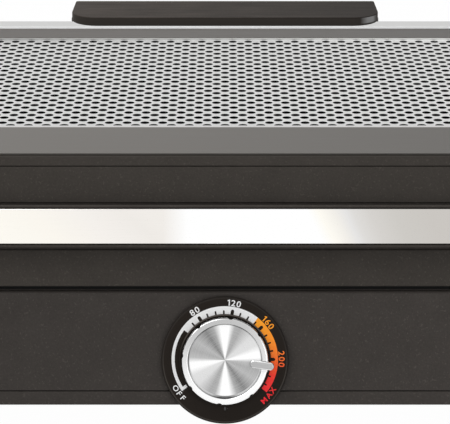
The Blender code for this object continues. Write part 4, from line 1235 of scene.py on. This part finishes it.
def makePointer():
    half, aside, top = dial["pointerWidth"] / 2, dial["pointerAside"], dial["pointerTop"]
    start, end = dial["pointerStart"] + half, dial["pointerEnd"] - half

    def bar(z, inset=0.0):
        points = arcPoints(aside, start, half - inset, pi, 2 * pi, 12)
        points += arcPoints(aside, end, half - inset, 0, pi, 12)
        return [Vector((x, y, z)) for x, y in points]

    pointer = loft([bar(dial["pointerFoot"])] + crown(bar, top, dial["pointerEdge"], 5))
    makePiece("pointerBar", pointer, satinPointer(), "knob", "knob_pointer", knobPlace)


makeDialPlate()
makeCollar()
makeKnob()
makePointer()
print("heat control made")

# Printed scale, its numbers and the two words that such dials carry
scale = {
    "centre": (-0.0001, 0.0004),
    "outer": 0.02845,
    "inner": 0.0243,
    "thin": 0.00166,
    "lift": 0.0035,  # face of the dial plate
    "thick": 0.00006,
    "offTurn": -126.4,
    "offTip": 3.4,  # the thread narrows to its foot over these degrees
    "offFoot": 3.8,
    "start": -54.3,
    "hotTurn": 38.4,
    "end": 128.2,
    "majors": (-31.7, 9.1, 48.8, 90.0),
    "minors": (-42, -21.6, -11.2, -1.2, 19.0, 29.1, 39.7, 59.9, 69.8, 79.8, 100, 110.6, 121.6),
    "majorWide": 0.00180,
    "majorDeep": 0.00270,
    "minorWide": 0.00090,
    "minorDeep": 0.00205,
    "footDeep": 0.0026,
    "numberRadius": 0.03040,
    "numberHigh": 0.00330,
    "wordHigh": 0.00290,
    "widen": 1.08,
}
labels = [  # text, turn of each letter, ink, upright from the middle outwards
    ("80", (-34.9, -29.2), "grey", True),
    ("120", (4.1, 8.7, 14.2), "grey", True),
    ("160", (44.2, 49.0, 54.5), "hot", True),
    ("200", (83.8, 89.6, 95.4), "hot", True),
    ("OFF", (-120.5, -126.8, -132.8), "grey", False),
    ("MAX", (136.2, 129.1, 122.8), "hot", False),
]


def printInk():
    finish = Finish("paleInk", level=0.3)
    return finish.done(finish.mix(finish.noise(2500, 2), grey(232), grey(244)))


def hotInk():
    finish = Finish("hotInk", level=0.3)
    share = clockAngle(finish)[0] + finish.noise(3200, 1) * 0.09 - 0.045
    stops = [(36, 255, 166, 30), (66, 255, 150, 33), (86, 255, 122, 36)]
    stops += [(97, 255, 92, 38), (110, 255, 54, 45), (140, 254, 32, 50)]
    return finish.done(finish.ramp(share, [(angle / 360, *tone) for angle, *tone in stops]))


def polar(radius, degrees):
    turn = radians(degrees)
    return radius * sin(turn), radius * cos(turn)


def printedShape(points):  # the outline filled and made thick
    shape = bmesh.new()
    verts = [shape.verts.new((x, y, 0)) for x, y in points]
    edges = [shape.edges.new(pair) for pair in zip(verts, verts[1:] + verts[:1])]
    bmesh.ops.triangle_fill(shape, use_beauty=True, edges=edges)
    for face in shape.faces:
        if face.normal.z < 0:
            face.normal_flip()
    raised = bmesh.ops.extrude_face_region(shape, geom=shape.faces[:])
    tops = [item for item in raised["geom"] if isinstance(item, bmesh.types.BMVert)]
    bmesh.ops.translate(shape, verts=tops, vec=(0, 0, scale["thick"]))
    bmesh.ops.recalc_face_normals(shape, faces=shape.faces)
    return shape


def fillArc(radius, start, end):
    steps = max(int(abs(end - start) / 2), 1)
    return [polar(radius, start + (end - start) * step / steps) for step in range(steps + 1)]


def scaleBand(start, end):  # ring segment with its ticks cut in from the inner edge
    inner = scale["inner"]
    points = [polar(scale["outer"], start + (end - start) * step / 60) for step in range(61)]
    ticks = [
        (turn, scale[kind + "Wide"], scale[kind + "Deep"])
        for kind in ("major", "minor") for turn in scale[kind + "s"] if start < turn < end
    ]
    back = [end]
    for turn, wide, deep in sorted(ticks, reverse=True):
        across, up, half = Vector(polar(1, turn + 90)), Vector(polar(1, turn)), wide / 2
        notch = [(half, 0), (half, deep - half)]
        notch += [(half * cos(a), deep - half + half * sin(a)) for a in (pi / 4, pi / 2, 3 * pi / 4)]
        notch += [(-half, deep - half), (-half, 0)]
        spread = half / inner * 180 / pi
        points += fillArc(inner, back[-1], turn + spread)
        points += [tuple(up * (inner + high) + across * side) for side, high in notch[1:-1]]
        back.append(turn - spread)
    points += fillArc(inner, back[-1], start)
    return points


def flaggedOne(high):  # the figure 1 as a bar with a slanting flag
    w, h = high * 0.19, high
    points = [(w, 0), (w, h), (0.25 * w, h), (-1.15 * w, 0.86 * h)]
    points += [(-0.85 * w, 0.70 * h), (0, 0.76 * h), (0, 0)]
    return printedShape([(x - 0.1 * w, y - h / 2) for x, y in points])


def glyph(text, high):
    if text == "1":
        return flaggedOne(high)
    curve = bpy.data.curves.new("glyph", "FONT")
    curve.body = text
    curve.align_x = "CENTER"
    curve.size = high / 0.72  # capitals are 0.72 of the letter's size
    curve.offset = high * 0.022  # makes the strokes bolder
    curve.resolution_u = 6
    curve.extrude = scale["thick"] / 2
    obj = addObject("glyph", curve)
    mesh = finalMesh(obj)
    bpy.data.objects.remove(obj)
    shape = bmesh.new()
    shape.from_mesh(mesh)
    bmesh.ops.remove_doubles(shape, verts=shape.verts, dist=0.000001)
    xs, ys = ([vert.co[axis] for vert in shape.verts] for axis in (0, 1))
    factor = high / (max(ys) - min(ys))
    middle = Vector((min(xs) + max(xs), min(ys) + max(ys), -scale["thick"])) / 2
    bmesh.ops.translate(shape, verts=shape.verts, vec=-middle)
    bmesh.ops.scale(shape, verts=shape.verts, vec=(factor * scale["widen"], factor, 1))
    return shape


def makeScale():
    pale, hot = printInk(), hotInk()
    start, off, outer = scale["start"], scale["offTurn"], scale["outer"]
    under = outer - scale["thin"]
    thread = [polar(outer, off + (start - off) * step / 40) for step in range(41)]
    thread += [polar(under, start + (off + scale["offTip"] - start) * step / 40) for step in range(41)]
    thread += [polar(under - scale["footDeep"], off + more) for more in (scale["offFoot"], 0)]
    place = dialPlace @ at(*scale["centre"], scale["lift"])
    for name, points, ink in (
        ("scaleRing", scaleBand(start, scale["hotTurn"]), pale),
        ("scaleThread", thread, pale),
        ("scaleHeat", scaleBand(scale["hotTurn"] + 0.01, scale["end"]), hot),
    ):
        makePiece(name, printedShape(points), ink, "base", None, place)
    for text, turns, ink, outward in labels:
        high = scale["numberHigh"] if outward else scale["wordHigh"]
        letters = []
        for letter, turn in zip(text, turns):
            x, y = polar(scale["numberRadius"], turn)
            facing = turnedBy(-radians(turn) + (0 if outward else pi))
            letters.append((glyph(letter, high), at(x, y) @ facing))
        surface = hot if ink == "hot" else pale
        makePiece("mark" + text, gather(letters), surface, "base", None, place)


makeScale()
print("scale made")

# Grill plate: dished casting with rounded ribs, a drain and side grips
plate = {
    "half": 0.20997,
    "along": 0.13301,
    "corner": 0.022,
    "cornerShare": 0.6,
    "bowl": 0.0106,
    "foot": 0.0552,
    "floor": 0.0592,
    "top": 0.0752,
    "draft": 0.006,
    "rim": 0.004,
    "edge": 0.0012,
    "ribPitch": 0.0135,
    "ribHeight": 0.005,
    "ribFoot": 0.0052,
    "ribCrown": 0.003,
    "ribEdge": 0.0009,
    "ribCorner": 0.0014,
    "channel": 0.012,
    "drain": 0.005,
    "drainInset": 0.0095,
    "gripHalf": 0.030,
    "gripReach": 0.007,
    "gripFoot": 0.0726,
    "gripDrop": 0.0003,  # how far the grips lie under the rim's rounded edge
    "gripEdge": 0.0004,
    "gripCorner": 0.0034,
    "turnIn": 0.0016,  # height of the slopes at foot and floor
}


def makePlate():
    half, along, top, edge = plate["half"], plate["along"], plate["top"], plate["edge"]
    bowl, draft, rim = plate["bowl"], plate["draft"], plate["rim"]
    low, floor, ledge = plate["foot"], plate["floor"], levels["seatTop"] + fit
    section = outline(half, -along, along, plate["corner"], shrink=plate["cornerShare"])
    inner, rise = bowl + draft, plate["turnIn"]
    loops = [section(low, inner), section(low + rise, bowl + draft / 2)]
    loops += [section(ledge, bowl), section(ledge)] + crown(section, top, edge)
    loops += [section(top - rest, rim - inset) for inset, rest in quarter(edge, None, True)]
    hollow = ((-0.0010, rise), (-0.0002, 0.0007), (0.0010, 0.0001), (0.0020, 0))
    loops += [section(floor + lift, inner + inset) for inset, lift in hollow]
    ribHalf = half - inner - plate["channel"]
    ribAlong = along - inner - plate["channel"]
    count = int(2 * ribHalf // plate["ribPitch"]) + 1
    wide, peak, high = plate["ribFoot"] / 2, plate["ribCrown"] / 2, plate["ribHeight"]
    rows = [(wide + 0.0012, 0, -0.0008), (wide + 0.0005, 0, 0.0004), (wide, 0.0004, 0.0012)]
    rows += [(peak - inset, high / 2 + inset, high - rest) for inset, rest in quarter(plate["ribEdge"])]
    ribs = []
    for index in range(count):
        rib = [
            roundedLoop(x, pull - ribAlong, ribAlong - pull, floor + z, min(x, plate["ribCorner"]) * 0.95)
            for x, pull, z in rows
        ]
        ribs.append((loft(rib), at((index - (count - 1) / 2) * plate["ribPitch"])))
    drainY = along - inner - plate["drainInset"]
    r, high = plate["drain"], floor + plate["drain"] / 5
    drain = turned(((0, low - over), (r, low - over), (r, floor), (r * 1.2, high), (0, high)), 40)
    reach, near = half + plate["gripReach"], half - rim / 2
    low, high, step = plate["gripFoot"], top - edge, plate["gripEdge"]
    steps = ((step, low), (0, low + step), (0, high - plate["gripDrop"]), (step, high))
    grips = []
    for side in (-1, 1):
        left, right = sorted((side * near, side * reach))
        grip = outline((right - left) / 2, -plate["gripHalf"], plate["gripHalf"], plate["gripCorner"])
        grips.append((loft([grip(z, inset) for inset, z in steps]), at((left + right) / 2)))
    makePiece(
        "ribbedPlate", loft(loops), castPlate, "plate", "grill_plate",
        cuts=[
            (gather(ribs), bodyPlace, "UNION"),
            (drain, bodyPlace @ at(0, drainY)),
            (gather(grips), bodyPlace, "UNION"),
        ],
    )


makePlate()
print("grill plate made")

# Finishes of the pieces that stay as the frame has them
kept = {
    "deck": rimPlastic,
    "heat_reflector": brightSheet,
    "drip_tray": brightSheet,
    "heating_element": sheath,
    "terminal_block": ceramic,
    "thermal_cutout": phenolic,
    "thermostat": phenolic,
    "cord_gland": rubber,
}
for name in ("thermostat_bracket", "control_shaft", "mesh_retainer", "hinge_leaf"):
    kept[name] = zinc
for side in ("left", "right"):
    for name in ("tray_rail_", "hinge_ear_", "hinge_pin_"):
        kept[name + side] = zinc
    for name in ("", "inner_"):
        kept["element_saddle_" + name + side] = ceramic
for corner, node, x, y in corners:
    kept["hood_bumper_" + node] = rubber
for name, surface in kept.items():
    solid = nodes[name]
    solid.data.materials.clear()
    solid.data.materials.append(surface)
print("kept nodes finished")

# Floor, light and camera
studio = {
    "floorSize": 12.0,
    "floor": (0.86, 0.86, 0.86, 1),
    "floorWhite": 0.985,  # how far the floor goes to plain white for the camera
    "world": 0.66,
    "keyPower": 17,
    "keySize": 1.4,
    "keyPlace": (-0.9, -0.2, 1.7),
    "fillPower": 4,
    "fillSize": 1.0,
    "fillPlace": (1.2, -1.9, 0.5),
}


def makeStudio():
    half = studio["floorSize"] / 2
    shape = bmesh.new()
    places = ((-half, -half), (half, -half), (half, half), (-half, half))
    shape.faces.new([shape.verts.new((x, y, 0)) for x, y in places])
    floor = newObject("floor", shape, Matrix.Identity(4))
    finish = Finish("paleFloor", 0.9, level=0.0)
    colour = studio["floor"]
    finish.set("Base Color", finish.mix(finish.noise(3, 2), shade(colour, 0.995), shade(colour, 1.005)))
    white = finish.add("Emission", None, {"Strength": 1.0})
    own, shown = Signal(finish, finish.shader.outputs[0]), finish.plainRays() * studio["floorWhite"]
    shown = finish.add("MixShader", None, {0: shown, 1: own, 2: white})
    finish.join(finish.tree.nodes["Material Output"].inputs["Surface"], shown)
    floor.data.materials.append(finish.material)

    world = bpy.data.worlds.new("studio")
    scene.world = world
    world.use_nodes = True
    sky = Nodes(world.node_tree)
    background = sky.tree.nodes["Background"].inputs
    limits = {"Value": sky.plainRays(), "To Min": studio["world"], "To Max": 1.0}
    sky.join(background["Color"], (1, 1, 1, 1))
    sky.join(background["Strength"], sky.add("MapRange", None, limits, "Result"))

    for name in ("key", "fill"):
        lamp = bpy.data.lights.new(name, "AREA")
        lamp.energy = studio[name + "Power"]
        lamp.size = studio[name + "Size"]
        obj = addObject(name, lamp)
        obj.location = studio[name + "Place"]
        aim = Vector((0, 0, 0.08)) - obj.location
        obj.rotation_euler = aim.to_track_quat("-Z", "Y").to_euler()


camera = {
    "place": (0, -1.227947, 0.4766),  # from the middle of the window
    "pitch": 18.7,  # degrees below the horizon
    "lens": 169.2,
}


def makeCamera():
    view = bpy.data.cameras.new("camera")
    view.lens = camera["lens"]
    view.sensor_width = 36
    view.clip_start = 0.01
    view.clip_end = 100
    obj = addObject("camera", view)
    obj.location = bodyPlace @ Vector(camera["place"])
    obj.rotation_euler = (radians(90 - camera["pitch"]), 0, 0)
    scene.camera = obj


makeStudio()
makeCamera()
scene.view_settings.view_transform = "Standard"
print("studio made")
